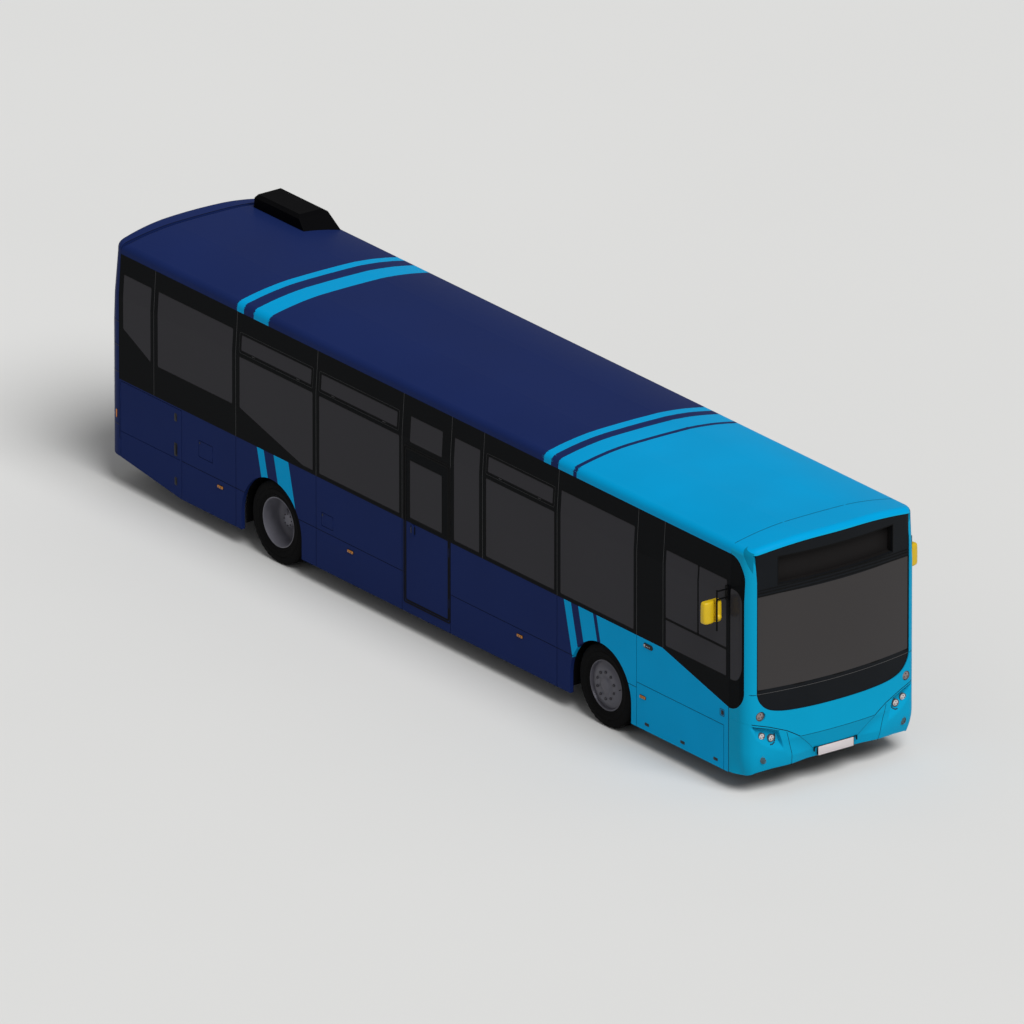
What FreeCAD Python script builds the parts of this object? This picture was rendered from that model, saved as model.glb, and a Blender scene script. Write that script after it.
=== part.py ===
import FreeCAD, Part
import math
import os

from FreeCAD import Vector

# Single-deck low-floor city bus with right-hand drive, in millimetres.
# +X runs forward, +Y to the left (kerb) side, +Z up; the origin lies on the
# ground, on the centre line, halfway along the bus.

# Driving dimensions
FRONT_OVERHANG = 2950.0
WHEELBASE = 6450.0
REAR_OVERHANG = 3470.0
HALF_WIDTH = 1250.0
ROOF_TOP = 3200.0
WALL = 50.0
GLASS = 6.0
FIT = 0.3
GROOVE_WIDTH = 9.0
GROOVE_DEPTH = 6.0
DOOR_GAP = 8.0
BAR_FLATS = 8

LENGTH = FRONT_OVERHANG + WHEELBASE + REAR_OVERHANG
NOSE = LENGTH / 2
TAIL = -LENGTH / 2
FRONT_AXLE = NOSE - FRONT_OVERHANG
REAR_AXLE = FRONT_AXLE - WHEELBASE
REACH = LENGTH

# Body outline seen from above
NOSE_RADIUS = 5170.0
NOSE_CORNER = 180.0
TAIL_RADIUS = 6500.0

# Body section: height, half width, forward lean of the tail
SKIRT_BOTTOM = 235.0
TUMBLEHOME_START = 2450.0
BAND_TOP = 2978.0
BAND_TOP_HALF_WIDTH = 1216.0
TAIL_LEAN_START = 2100.0
TAIL_LEAN = 145.0
ROOF_EDGE_RADIUS = 85.0
FORM_TOP = ROOF_TOP + 150.0
FORM_TOP_HALF_WIDTH = 1212.0
CROWN = [(0.0, 0.0), (450.0, 5.0), (940.0, 57.0), (1400.0, 160.0)]

# Heights of the side
BELT = 1389.0
SILL = 1440.0
WINDOW_TOP = 2738.0
MAIN_WINDOW_TOP = 2431.0
HOPPER_BOTTOM = 2518.0
HOPPER_TOP = 2710.0
HIGH_SILL = 1783.0
SKIRT_CREASE = 727.0
CAB_CREASE = 797.0
CAB_SEAM_FORWARD = 2455.0
TAIL_SEAM = REAR_AXLE - 3101.0
TAIL_BOTTOM = 400.0

# Windows of the side, forward of the front axle
FLOOR_SILL = 360.0
WINDOW_CORNER = 12.0
EMERGENCY_REAR = -3858.0
EMERGENCY_FRONT = -3003.0
EMERGENCY_BOTTOM = 382.0
EMERGENCY_TOP = 2329.0
DOORWAY_REAR = 1120.0
DOORWAY_FRONT = 2380.0
DOORWAY_BOTTOM = FLOOR_SILL - 2.0
DOORWAY_TOP = 2380.0
BAY_JOINTS = [-7220.0, -5625.0, -3923.0, -2971.0, -881.0, 669.0]
BAND_JOINTS = [-8855.0, -2341.0, 1180.0]

# Wheels
TYRE_RADIUS = 520.0
TYRE_WIDTH = 295.0
TYRE_SHOULDER = 34.0
RIM_RADIUS = 313.0
RIM_WALL = 12.0
WHEEL_FACE = 1215.0
TWIN_SPACING = 335.0
ARCH_RADIUS = 598.0
ARCH_HEIGHT = 465.0
FRONT_ARCH = FRONT_AXLE - 30.0
REAR_ARCH = REAR_AXLE - 60.0
LINER_RADIUS = 625.0
LINER_WALL = 8.0
LINER_INNER = 520.0
LINER_BOTTOM = 320.0
KINGPIN = 985.0
KINGPIN_BOSS = 34.0
BEAM_LOW = 152.0
YOKE_LOW = 400.0
YOKE_TOP = 640.0
YOKE_ARM = 40.0
CASING_RADIUS = 85.0
HUB_RADIUS = 110.0
STUB_RADIUS = 45.0
STUB_SHORT = 62.0
WHEEL_CENTRE = WHEEL_FACE - TYRE_WIDTH / 2
TWIN_MIDDLE = WHEEL_CENTRE - TWIN_SPACING / 2
REAR_HUB_START = 690.0
WHEEL_FLATS = 36
NUT_COUNT = 10
NUT_CIRCLE = 167.5
NUT_RADIUS = 17.0

# Floor
FLOOR_TOP = FLOOR_SILL
FLOOR_THICKNESS = 36.0
STEP_TOPS = [(-4050.0, 560.0), (-4350.0, 760.0), (-4650.0, 960.0)]
REAR_FLOOR = 960.0
FLOOR_HALF_WIDTH = HALF_WIDTH - WALL - 22.0


def at(x_from_front_axle):
    return FRONT_AXLE + x_from_front_axle


# Shape helpers
def box(x0, x1, y0, y1, z0, z1):
    return Part.makeBox(x1 - x0, y1 - y0, z1 - z0, Vector(x0, y0, z0))


def cylinder(radius, length, base, axis):
    return Part.makeCylinder(radius, length, base, axis)


def rod(start, end, radius):
    way = end - start
    return Part.makeCylinder(radius, way.Length, start, way)


def bar(start, end, radius, sides=BAR_FLATS):
    """Straight bar or drum with flats all round, between two points."""
    way = end - start
    corners = []
    for index in range(sides + 1):
        angle = 2 * math.pi * (index + 0.5) / sides
        corners.append(Vector(radius * math.cos(angle), radius * math.sin(angle), 0))
    made = Part.Face(Part.makePolygon(corners)).extrude(Vector(0, 0, way.Length))
    made.Placement = FreeCAD.Placement(start, FreeCAD.Rotation(Vector(0, 0, 1), way))
    return made


def fuse(shapes):
    first, rest = shapes[0], shapes[1:]
    return first.fuse(rest).removeSplitter() if rest else first


def mirrored(shape):
    return shape.mirror(Vector(0, 0, 0), Vector(0, 1, 0))


def both_sides(shape):
    return [shape, mirrored(shape)]


def outline(points, radius, place):
    """Closed wire through flat points with rounded corners; place puts a point in space."""
    if radius <= 0:
        corners = [place(x, y) for x, y in points]
        return Part.makePolygon(corners + corners[:1])
    edges = []
    starts, ends, middles = [], [], []
    count = len(points)
    for index in range(count):
        before = Vector(*points[index - 1], 0)
        corner = Vector(*points[index], 0)
        after = Vector(*points[(index + 1) % count], 0)
        to_before = (before - corner).normalize()
        to_after = (after - corner).normalize()
        half_angle = to_before.getAngle(to_after) / 2
        reach = radius / math.tan(half_angle)
        bisector = (to_before + to_after).normalize()
        centre = corner + bisector * (radius / math.sin(half_angle))
        starts.append(corner + to_before * reach)
        ends.append(corner + to_after * reach)
        middles.append(centre - bisector * radius)
    for index in range(count):
        arc = Part.Arc(*(place(p.x, p.y) for p in (starts[index], middles[index], ends[index])))
        edges.append(arc.toShape())
        following = starts[(index + 1) % count]
        if (following - ends[index]).Length > 0.01:
            line = Part.LineSegment(place(ends[index].x, ends[index].y), place(following.x, following.y))
            edges.append(line.toShape())
    return Part.Wire(edges)


def prism_y(points, y0, y1, radius=0.0):
    """Solid from an outline of (x, z) points, between two widths."""
    wire = outline(points, radius, lambda x, z: Vector(x, y0, z))
    return Part.Face(wire).extrude(Vector(0, y1 - y0, 0))


def prism_x(points, x0, x1, radius=0.0):
    """Solid from an outline of (y, z) points, between two stations."""
    wire = outline(points, radius, lambda y, z: Vector(x0, y, z))
    return Part.Face(wire).extrude(Vector(x1 - x0, 0, 0))


def prism_z(points, z0, z1, radius=0.0):
    """Solid from an outline of (x, y) points, between two heights."""
    wire = outline(points, radius, lambda x, y: Vector(x, y, z0))
    return Part.Face(wire).extrude(Vector(0, 0, z1 - z0))


def rectangle(x0, x1, z0, z1):
    return [(x0, z0), (x1, z0), (x1, z1), (x0, z1)]


def clipped(points, by):
    """The outline with each corner cut off a little, as a small radius made of one flat."""
    made = []
    for index, (x, z) in enumerate(points):
        for x_near, z_near in (points[index - 1], points[(index + 1) % len(points)]):
            away = math.hypot(x_near - x, z_near - z)
            made.append((x + (x_near - x) * by / away, z + (z_near - z) * by / away))
    return made


def arc_points(centre_x, centre_z, radius, steps):
    """Half circle over the top, from rear to front."""
    made = []
    for step in range(steps + 1):
        angle = math.pi * (1 - step / steps)
        made.append((centre_x + radius * math.cos(angle), centre_z + radius * math.sin(angle)))
    return made


def turned(section, x_centre, sides, z_centre=None):
    """Solid about a crosswise axis with flats all round; section holds (y, radius to the flat) points."""
    height = TYRE_RADIUS if z_centre is None else z_centre
    to_corner = 1 / math.cos(math.pi / sides)
    rows = []
    for side in range(sides):
        angle = 2 * math.pi * (side + 0.5) / sides
        across = to_corner * math.sin(angle)
        up = to_corner * math.cos(angle)
        rows.append([Vector(x_centre + radius * across, y, height + radius * up) for y, radius in section])
    faces = []
    for side in range(sides):
        row, following = rows[side], rows[(side + 1) % sides]
        for index in range(len(section)):
            after = (index + 1) % len(section)
            corners = [row[index]]
            for point in (row[after], following[after], following[index]):
                if (point - corners[-1]).Length > 0.001:
                    corners.append(point)
            if (corners[-1] - corners[0]).Length < 0.001:
                corners.pop()
            if len(corners) > 2:
                faces.append(Part.Face(Part.makePolygon(corners + corners[:1])))
    return Part.Solid(Part.Shell(faces)).removeSplitter()


def export(name, shapes):
    os.makedirs("parts", exist_ok=True)
    solids = []
    for shape in shapes:
        solids.extend(shape.Solids)
    whole = solids[0] if len(solids) == 1 else Part.makeCompound(solids)
    whole.exportStep("parts/" + name + ".step")


# Body form: the outer surface, or a surface any depth below it
def tail_corner_radius(side, tail):
    """Radius that lets the rounded rear corner begin at the rear panel's seam."""
    away = tail + TAIL_RADIUS - TAIL_SEAM
    return (TAIL_RADIUS ** 2 - side ** 2 - away ** 2) / (2 * (TAIL_RADIUS - side))


def plan_outline(height, side, tail, inset):
    half = side - inset
    nose = NOSE - inset
    nose_radius = NOSE_RADIUS - inset
    nose_corner = NOSE_CORNER - inset
    tail_radius = TAIL_RADIUS - inset
    tail_corner = tail_corner_radius(side, tail) - inset
    tail = tail + inset
    nose_centre = nose - nose_radius
    reach = math.sqrt((nose_radius - nose_corner) ** 2 - (half - nose_corner) ** 2)
    corner_x = nose_centre + reach
    turn = math.atan2(half - nose_corner, reach)
    nose_end = Vector(nose_centre + nose_radius * math.cos(turn), nose_radius * math.sin(turn), height)
    bend = (turn + math.pi / 2) / 2
    nose_bend = Vector(corner_x + nose_corner * math.cos(bend),
                       half - nose_corner + nose_corner * math.sin(bend), height)
    tail_centre = tail + tail_radius
    tail_reach = math.sqrt((tail_radius - tail_corner) ** 2 - (half - tail_corner) ** 2)
    tail_x = tail_centre - tail_reach
    tail_turn = math.atan2(half - tail_corner, tail_reach)
    tail_end = Vector(tail_centre - tail_radius * math.cos(tail_turn),
                      tail_radius * math.sin(tail_turn), height)
    tail_bend = (tail_turn + math.pi / 2) / 2
    tail_middle = Vector(tail_x - tail_corner * math.cos(tail_bend),
                         half - tail_corner + tail_corner * math.sin(tail_bend), height)
    side_front = Vector(corner_x, half, height)
    side_rear = Vector(tail_x, half, height)

    def other(point):
        return Vector(point.x, -point.y, point.z)

    def corner(start, bend, end):
        """Rounded outside; inside the wall it is made of two flats."""
        if inset < WALL:
            return [Part.Arc(start, bend, end)]
        return [Part.LineSegment(start, bend), Part.LineSegment(bend, end)]

    edges = [Part.Arc(other(nose_end), Vector(nose, 0, height), nose_end)]
    edges += corner(nose_end, nose_bend, side_front)
    edges.append(Part.LineSegment(side_front, side_rear))
    edges += corner(side_rear, tail_middle, tail_end)
    edges.append(Part.Arc(tail_end, Vector(tail, 0, height), other(tail_end)))
    edges += corner(other(tail_end), other(tail_middle), other(side_rear))
    edges.append(Part.LineSegment(other(side_rear), other(side_front)))
    edges += corner(other(side_front), other(nose_bend), other(nose_end))
    return Part.Wire([edge.toShape() for edge in edges])


def crown_solid(inset):
    """Everything under the roof's crown: a nearly flat middle and a rounder shoulder each side."""
    (_, _), (flat, flat_drop), (middle, middle_drop), (edge, edge_drop) = CROWN
    low = -300.0

    def point(y, drop):
        return Vector(-REACH, y, ROOF_TOP - drop - inset)

    arcs = [
        Part.Arc(point(-edge, edge_drop), point(-middle, middle_drop), point(-flat, flat_drop)),
        Part.Arc(point(-flat, flat_drop), point(0, 0), point(flat, flat_drop)),
        Part.Arc(point(flat, flat_drop), point(middle, middle_drop), point(edge, edge_drop)),
    ]
    below = Part.makePolygon([point(edge, edge_drop), Vector(-REACH, edge, low), Vector(-REACH, -edge, low),
                              point(-edge, edge_drop)])
    wire = Part.Wire([arc.toShape() for arc in arcs] + [below])
    return Part.Face(wire).extrude(Vector(2 * REACH, 0, 0))


def is_roof_edge(edge):
    bounds = edge.BoundBox
    above_band = bounds.ZMin > BAND_TOP + 10 and bounds.ZLength < 200
    on_crown_line = bounds.YMin < 0 < bounds.YMax or bounds.YLength < 1 and abs(bounds.YMin) < 1000
    return above_band and not on_crown_line


def with_round_roof_edge(form, inset):
    """The roof's edge is rounded outside; inside the wall it is a plain corner."""
    if inset >= WALL:
        return form
    return form.makeFillet(ROOF_EDGE_RADIUS - inset, [edge for edge in form.Edges if is_roof_edge(edge)])


MIDDLE_FRONT = FRONT_AXLE + 2650.0


def middle_form(inset):
    """The straight length of the body: one section drawn along the bus."""
    half = HALF_WIDTH - inset
    right = [(half, -100.0), (half, TUMBLEHOME_START), (BAND_TOP_HALF_WIDTH - inset, BAND_TOP),
             (FORM_TOP_HALF_WIDTH - inset, FORM_TOP)]
    section = right + [(-y, z) for y, z in reversed(right)]
    form = prism_x(section, TAIL_SEAM - inset, MIDDLE_FRONT + inset).common(crown_solid(inset))
    return with_round_roof_edge(form, inset)


def end_form(inset):
    """The whole body with its curved nose and leaning tail, used past the seams."""
    rise = FORM_TOP - TAIL_LEAN_START
    levels = [
        (-100.0, HALF_WIDTH, 0.0),
        (TAIL_LEAN_START, HALF_WIDTH, 0.0),
        (TUMBLEHOME_START, HALF_WIDTH, TAIL_LEAN * (TUMBLEHOME_START - TAIL_LEAN_START) / rise),
        (BAND_TOP, BAND_TOP_HALF_WIDTH, TAIL_LEAN * (BAND_TOP - TAIL_LEAN_START) / rise),
        (FORM_TOP, FORM_TOP_HALF_WIDTH, TAIL_LEAN),
    ]
    wires = [plan_outline(height, side, TAIL + lean, inset) for height, side, lean in levels]
    form = Part.makeLoft(wires, True, True).common(crown_solid(inset))
    return with_round_roof_edge(form, inset)


GLASS_RECESS = 2.0
MIDDLE_OUTER = middle_form(0.0)
MIDDLE_SHELL = MIDDLE_OUTER.cut(middle_form(WALL))
MIDDLE_GROOVES = MIDDLE_OUTER.cut(middle_form(GROOVE_DEPTH))
MIDDLE_PANES = middle_form(GLASS_RECESS).cut(middle_form(GLASS_RECESS + GLASS))
END_OUTER = end_form(0.0)
END_SHELL = END_OUTER.cut(end_form(WALL))
END_GROOVES = END_OUTER.cut(end_form(GROOVE_DEPTH))
END_PANES = end_form(GLASS_RECESS).cut(end_form(GLASS_RECESS + GLASS))


# Underside cut: level skirts, and a tail that rises to the rear bumper
def underside():
    rise_start = at(-8306.0)
    points = [
        (NOSE + 100, -200), (NOSE + 100, SKIRT_BOTTOM), (rise_start, SKIRT_BOTTOM),
        (TAIL_SEAM, TAIL_BOTTOM), (TAIL - 100, TAIL_BOTTOM), (TAIL - 100, -200),
    ]
    return prism_y(points, -HALF_WIDTH - 100, HALF_WIDTH + 100)


UNDERSIDE = underside()
CAB_SEAM = at(CAB_SEAM_FORWARD)


# Windows
def windows_right():
    """Outlines of the fixed glass areas of the right side, as (x, z) points."""
    slanted = [(at(-9471), 2054), (at(-8920), 1794), (at(-8920), 2740), (at(-9471), 2740)]
    stepped = [(at(-5898), SILL), (at(-5690), SILL), (at(-5690), MAIN_WINDOW_TOP),
               (at(-7147), MAIN_WINDOW_TOP), (at(-7147), 1780)]
    return [
        slanted,
        rectangle(at(-8780), at(-7289), HIGH_SILL, WINDOW_TOP),
        stepped,
        rectangle(at(-7116), at(-5729), HOPPER_BOTTOM, HOPPER_TOP),
        rectangle(at(-5565), at(-3978), SILL, MAIN_WINDOW_TOP),
        rectangle(at(-5534), at(-4028), HOPPER_BOTTOM, HOPPER_TOP),
        rectangle(at(-3769), at(-3140), 2414, WINDOW_TOP),
        rectangle(at(-2904), at(-2406), SILL, WINDOW_TOP),
        rectangle(at(-2274), at(-936), SILL, MAIN_WINDOW_TOP),
        rectangle(at(-2243), at(-976), HOPPER_BOTTOM, HOPPER_TOP),
        rectangle(at(-818), at(610), SILL, WINDOW_TOP),
        rectangle(at(1230), at(1845), 1790, 2640),
        rectangle(at(1869), at(2404), 1790, 2640),
        rectangle(at(1230), at(2404), 1433, 1762),
    ]


def windows_left():
    """The kerb side: the same bays, a wide pane behind the emergency door's bay, no cab window."""
    right = windows_right()
    wide = rectangle(at(-3769), at(-2406), SILL, WINDOW_TOP)
    return right[:6] + [wide] + right[8:11]


def side_region(y_sign, y_depth=120.0):
    outer = y_sign * (HALF_WIDTH + 20)
    inner = y_sign * (HALF_WIDTH - y_depth)
    return min(outer, inner), max(outer, inner)


def window_cutters(outlines, y_sign):
    y0, y1 = side_region(y_sign)
    return [prism_y(clipped(points, WINDOW_CORNER), y0, y1) for points in outlines]


def shrunk(points, by):
    """The outline moved inward by a small clearance."""
    centre_x = sum(p[0] for p in points) / len(points)
    centre_z = sum(p[1] for p in points) / len(points)
    width = max(p[0] for p in points) - min(p[0] for p in points)
    height = max(p[1] for p in points) - min(p[1] for p in points)
    fx = 1 - 2 * by / width
    fz = 1 - 2 * by / height
    return [(centre_x + (x - centre_x) * fx, centre_z + (z - centre_z) * fz) for x, z in points]


def panes(outlines, y_sign):
    y0, y1 = side_region(y_sign)
    made = []
    for points in outlines:
        region = prism_y(clipped(shrunk(points, FIT), WINDOW_CORNER), y0, y1)
        made.append(region.common(MIDDLE_PANES))
    return made


# Openings of the right side
def emergency_region(gap):
    y0, y1 = side_region(-1)
    points = rectangle(at(EMERGENCY_REAR) - gap, at(EMERGENCY_FRONT) + gap,
                       EMERGENCY_BOTTOM - gap, EMERGENCY_TOP + gap)
    return prism_y(points, y0, y1, 30.0 + gap)


def doorway_region(gap):
    y0, y1 = side_region(1)
    points = rectangle(at(DOORWAY_REAR) - gap, at(DOORWAY_FRONT) + gap, DOORWAY_BOTTOM - gap,
                       DOORWAY_TOP + gap)
    return prism_y(points, y0, y1)


ENGINE_DOOR_REAR = at(-9520.0)
ENGINE_DOOR_FRONT = at(-8306.0)
ENGINE_DOOR_TOP = 1365.0


def engine_door_region(gap):
    y0, y1 = side_region(-1)
    points = rectangle(ENGINE_DOOR_REAR - gap, ENGINE_DOOR_FRONT + gap, -100, ENGINE_DOOR_TOP + gap)
    return prism_y(points, y0, y1)


FUEL_FLAP = (at(-5513.0), at(-5295.0), 800.0, 960.0)
SERVICE_FLAP = (at(-7956.0), at(-7689.0), 900.0, 1100.0)
FLAP_THICKNESS = 20.0
FLAP_GAP = DOOR_GAP


def flap_region(flap, gap, depth):
    x0, x1, z0, z1 = flap
    return prism_y(rectangle(x0 - gap, x1 + gap, z0 - gap, z1 + gap),
                   -HALF_WIDTH - 20, -HALF_WIDTH + depth, 6.0 + gap)


def arch_cut(centre):
    tunnel = cylinder(ARCH_RADIUS, 2 * HALF_WIDTH + 200, Vector(centre, -HALF_WIDTH - 100, ARCH_HEIGHT),
                      Vector(0, 1, 0))
    legs = box(centre - ARCH_RADIUS, centre + ARCH_RADIUS, -HALF_WIDTH - 100, HALF_WIDTH + 100,
               -100, ARCH_HEIGHT)
    return tunnel.fuse(legs)


# Groove cutters for the seams between panels
def seam_x(x, z0, z1, y0=-HALF_WIDTH - 50, y1=HALF_WIDTH + 50):
    half = GROOVE_WIDTH / 2
    return box(x - half, x + half, y0, y1, z0, z1).common(MIDDLE_GROOVES)


def seam_z(z, x0, x1, y_sign):
    half = GROOVE_WIDTH / 2
    y0, y1 = side_region(y_sign)
    return box(x0, x1, y0, y1, z - half, z + half).common(MIDDLE_GROOVES)


# The belt: below the band, dropping along the cab window to the front seam
def belt_line(offset):
    return [(TAIL - 100, BELT + offset), (at(1170), BELT + offset), (CAB_SEAM, 1055 + offset)]


def below_belt():
    low = -300.0
    points = [(CAB_SEAM, low)] + [(x, z) for x, z in reversed(belt_line(0))] + [(TAIL - 100, low)]
    return prism_y(points, -HALF_WIDTH - 100, HALF_WIDTH + 100)


def above_belt():
    top = BAND_TOP
    points = belt_line(0) + [(CAB_SEAM, top), (TAIL - 100, top)]
    return prism_y(points, -HALF_WIDTH - 100, HALF_WIDTH + 100)


BODY_SPAN = box(TAIL_SEAM, CAB_SEAM, -HALF_WIDTH - 100, HALF_WIDTH + 100, -300, FORM_TOP)
RIGHT_HALF = box(-REACH, REACH, -HALF_WIDTH - 100, -200, -300, FORM_TOP)
LEFT_HALF = box(-REACH, REACH, 200, HALF_WIDTH + 100, -300, FORM_TOP)


def window_frame(half, outlines, y_sign, doors):
    frame = MIDDLE_SHELL.common(BODY_SPAN).common(above_belt()).common(half)
    frame = frame.cut(window_cutters(outlines, y_sign) + doors)
    grooves = [seam_x(at(x), BELT, BAND_TOP) for x in BAY_JOINTS + BAND_JOINTS]
    return frame.cut(grooves)


def window_frame_left():
    """The kerb side's frame, whose post ahead of the doors is a piece of its own."""
    split = box(at(DOORWAY_FRONT) - FIT / 2, at(DOORWAY_FRONT) + FIT / 2, 0, HALF_WIDTH + 50, 0, FORM_TOP)
    return window_frame(LEFT_HALF, windows_left(), 1, [doorway_region(0.0), split])


def side_panels(half, y_sign, cutters):
    panel = MIDDLE_SHELL.common(BODY_SPAN).common(below_belt()).common(half)
    panel = panel.cut([UNDERSIDE, arch_cut(FRONT_ARCH), arch_cut(REAR_ARCH)] + cutters)
    grooves = [seam_x(at(x), 0, BELT) for x in BAY_JOINTS]
    grooves.append(seam_z(SKIRT_CREASE, TAIL_SEAM, at(669), y_sign))
    grooves.append(seam_z(CAB_CREASE, at(669), at(2360), y_sign))
    grooves.append(seam_x(at(2360), 0, CAB_CREASE))
    return panel.cut(grooves)


def side_panels_left():
    """The kerb side, whose door sill and the strip ahead of the doors are panels of their own."""
    splits = [box(at(x) - FIT / 2, at(x) + FIT / 2, 0, HALF_WIDTH + 50, -100, FLOOR_SILL)
              for x in (DOORWAY_REAR, DOORWAY_FRONT)]
    return side_panels(LEFT_HALF, 1, [doorway_region(0.0)] + splits)


def roof_shell():
    region = box(TAIL_SEAM, CAB_SEAM, -HALF_WIDTH, HALF_WIDTH, BAND_TOP, FORM_TOP)
    return MIDDLE_SHELL.common(region)


POD_LOW = 3040.0
POD_TOP = 3342.0
POD_SHOULDER = 3309.0


def roof_pod():
    """Black fairing over the rear left of the roof, with a sloped front and chamfered edges."""
    levels = [
        (POD_LOW, -9415, -8294, 635, 1170),
        (POD_SHOULDER, -9397, -8510, 650, 1080),
        (POD_TOP, -9385, -8560, 700, 1030),
    ]
    wires = []
    for z, rear, front, inner, outer in levels:
        corners = [Vector(at(x), y, z)
                   for x, y in ((rear, inner), (front, inner), (front, outer), (rear, outer))]
        wires.append(Part.makePolygon(corners + corners[:1]))
    pod = Part.makeLoft(wires, True, True)
    lifted = MIDDLE_OUTER.copy()
    lifted.translate(Vector(0, 0, FIT))
    return pod.cut(lifted)


# Front: mask with pillars and brow, black surround, windscreen, sign and bumper
GLASS_HALF = 1107.0
SURROUND_HALF = 1120.0
SCREEN_BOTTOM = 1342.0
SCREEN_TOP = 2525.0
SIGN_HALF = 840.0
SIGN_BOTTOM = 2640.0
SIGN_TOP = 2980.0
SIGN_DEPTH = 90.0
BROW_DROP = 66.0
SURROUND_RECESS = 12.0
CREASE = [(0, 667), (550, 667), (730, 773), (960, 860), (1170, 920), (1400, 950)]
PANEL_LOW = [(0, 1012), (600, 1020), (850, 1045), (1000, 1100), (1085, 1190), (1120, 1300)]


def mirrored_points(points):
    """Left half from the centre outward, completed with the right half, right to left."""
    return [(-y, z) for y, z in reversed(points[1:])] + points


def region_under(points, low):
    full = mirrored_points(points)
    corners = full + [(full[-1][0], low), (full[0][0], low)]
    return prism_x(corners, 0, NOSE + 200)


def surround_region(gap):
    """The black front panel: from its curved lower edge up to the brow."""
    lower = mirrored_points([(y + (gap if y == SURROUND_HALF else 0), z - gap) for y, z in PANEL_LOW])
    curve = Part.BSplineCurve()
    curve.interpolate([Vector(0, y, z) for y, z in lower])
    brow = [Vector(0, y, ROOF_TOP - drop - BROW_DROP + gap) for y, drop in CROWN[:3]]
    full_brow = [Vector(0, -p.y, p.z) for p in reversed(brow[1:])] + brow
    edge_half = SURROUND_HALF + gap
    brow_end = Vector(0, edge_half, ROOF_TOP - 90 - BROW_DROP + gap)
    full_brow = [Vector(0, -brow_end.y, brow_end.z)] + full_brow + [brow_end]
    top = Part.BSplineCurve()
    top.interpolate(full_brow)
    left_low = Vector(0, lower[-1][0], lower[-1][1])
    right_low = Vector(0, lower[0][0], lower[0][1])
    edges = [
        curve.toShape(),
        Part.LineSegment(left_low, brow_end).toShape(),
        top.toShape(),
        Part.LineSegment(full_brow[0], right_low).toShape(),
    ]
    wire = Part.Wire(Part.__sortEdges__(edges))
    return Part.Face(wire).extrude(Vector(NOSE + 200, 0, 0))


QUARTER_FRONT = at(2640.0)
QUARTER_LOW = 1400.0
QUARTER_HIGH = 2500.0


def quarter_region(by):
    """Corner glass beside the cab and the doorway."""
    rear = CAB_SEAM + 40 + by
    points = [(rear, QUARTER_LOW + by), (QUARTER_FRONT - by, QUARTER_LOW + 90 + by),
              (QUARTER_FRONT - by, QUARTER_HIGH - 130 - by), (rear, QUARTER_HIGH - by)]
    shapes = [prism_y(points, y0, y1, 30.0 - by) for y0, y1 in
              ((HALF_WIDTH - 120, HALF_WIDTH + 20), (-HALF_WIDTH - 20, -HALF_WIDTH + 120))]
    return shapes


SCOOP_DEPTH = 46.0


def brow_scoop(y_sign):
    """Triangular hollow under each end of the brow, beside the pillar."""
    inner = y_sign * (SURROUND_HALF - 2)
    outer = y_sign * (SURROUND_HALF + 88)
    nose_here = NOSE - SURROUND_HALF ** 2 / (2 * NOSE_RADIUS)
    low = Vector(nose_here + 4, inner, 2640)
    points = [
        Vector(nose_here + 40, inner, 3044), Vector(nose_here + 40, outer, 3044),
        Vector(nose_here - SCOOP_DEPTH, inner, 3044), Vector(nose_here - 24, outer, 3044),
    ]
    forward = Vector(nose_here + 40, inner, 2640)
    return hull_of(points, [low, forward])


def hull_of(top, bottom):
    """Wedge from four top points down to two bottom points."""
    a, b, c, d = top
    e, f = bottom
    faces = [
        [a, b, d, c], [c, e, f, a], [a, f, b], [b, f, e], [b, e, d], [d, e, c],
    ]
    shells = []
    for corners in faces:
        wire = Part.makePolygon(corners + [corners[0]])
        shells.append(Part.Face(wire))
    return Part.Solid(Part.Shell(shells))


def front_mask():
    region = box(CAB_SEAM, NOSE + 100, -HALF_WIDTH - 50, HALF_WIDTH + 50, -300, FORM_TOP)
    mask = END_SHELL.common(region).cut(region_under(CREASE, -400))
    mask = mask.cut([surround_region(FIT)] + quarter_region(0.0))
    scoops = [brow_scoop(1), brow_scoop(-1)]
    line = [box(CAB_SEAM, NOSE + 50, y0, y1, 1286, 1286 + GROOVE_WIDTH).common(END_GROOVES)
            for y0, y1 in ((SURROUND_HALF, 1185), (-1185, -SURROUND_HALF))]
    lamps = [cylinder(INDICATOR_RADIUS + FIT, 400, Vector(NOSE - 350, y, INDICATOR_HEIGHT), Vector(1, 0, 0))
             for y in (INDICATOR_OUT, -INDICATOR_OUT)]
    return mask.cut(scoops + line + lamps)


def skin_between(outer_depth, inner_depth):
    return end_form(outer_depth).cut(end_form(inner_depth))


def windscreen_surround():
    body = skin_between(SURROUND_RECESS, WALL).common(surround_region(0.0))
    screen = prism_x([(-GLASS_HALF, SCREEN_BOTTOM), (GLASS_HALF, SCREEN_BOTTOM),
                      (GLASS_HALF, SCREEN_TOP), (-GLASS_HALF, SCREEN_TOP)], 0, NOSE + 100, 20.0)
    sign = prism_x([(-SIGN_HALF, SIGN_BOTTOM), (SIGN_HALF, SIGN_BOTTOM), (SIGN_HALF, SIGN_TOP),
                    (-SIGN_HALF, SIGN_TOP)], 0, NOSE + 100, 12.0)
    return body.cut([screen, sign])


def windscreen():
    y, z0, z1 = GLASS_HALF - FIT, SCREEN_BOTTOM + FIT, SCREEN_TOP - FIT
    region = prism_x([(-y, z0), (y, z0), (y, z1), (-y, z1)], 0, NOSE + 100, 20.0)
    return skin_between(SURROUND_RECESS + 2, SURROUND_RECESS + 2 + GLASS).common(region)


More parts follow.
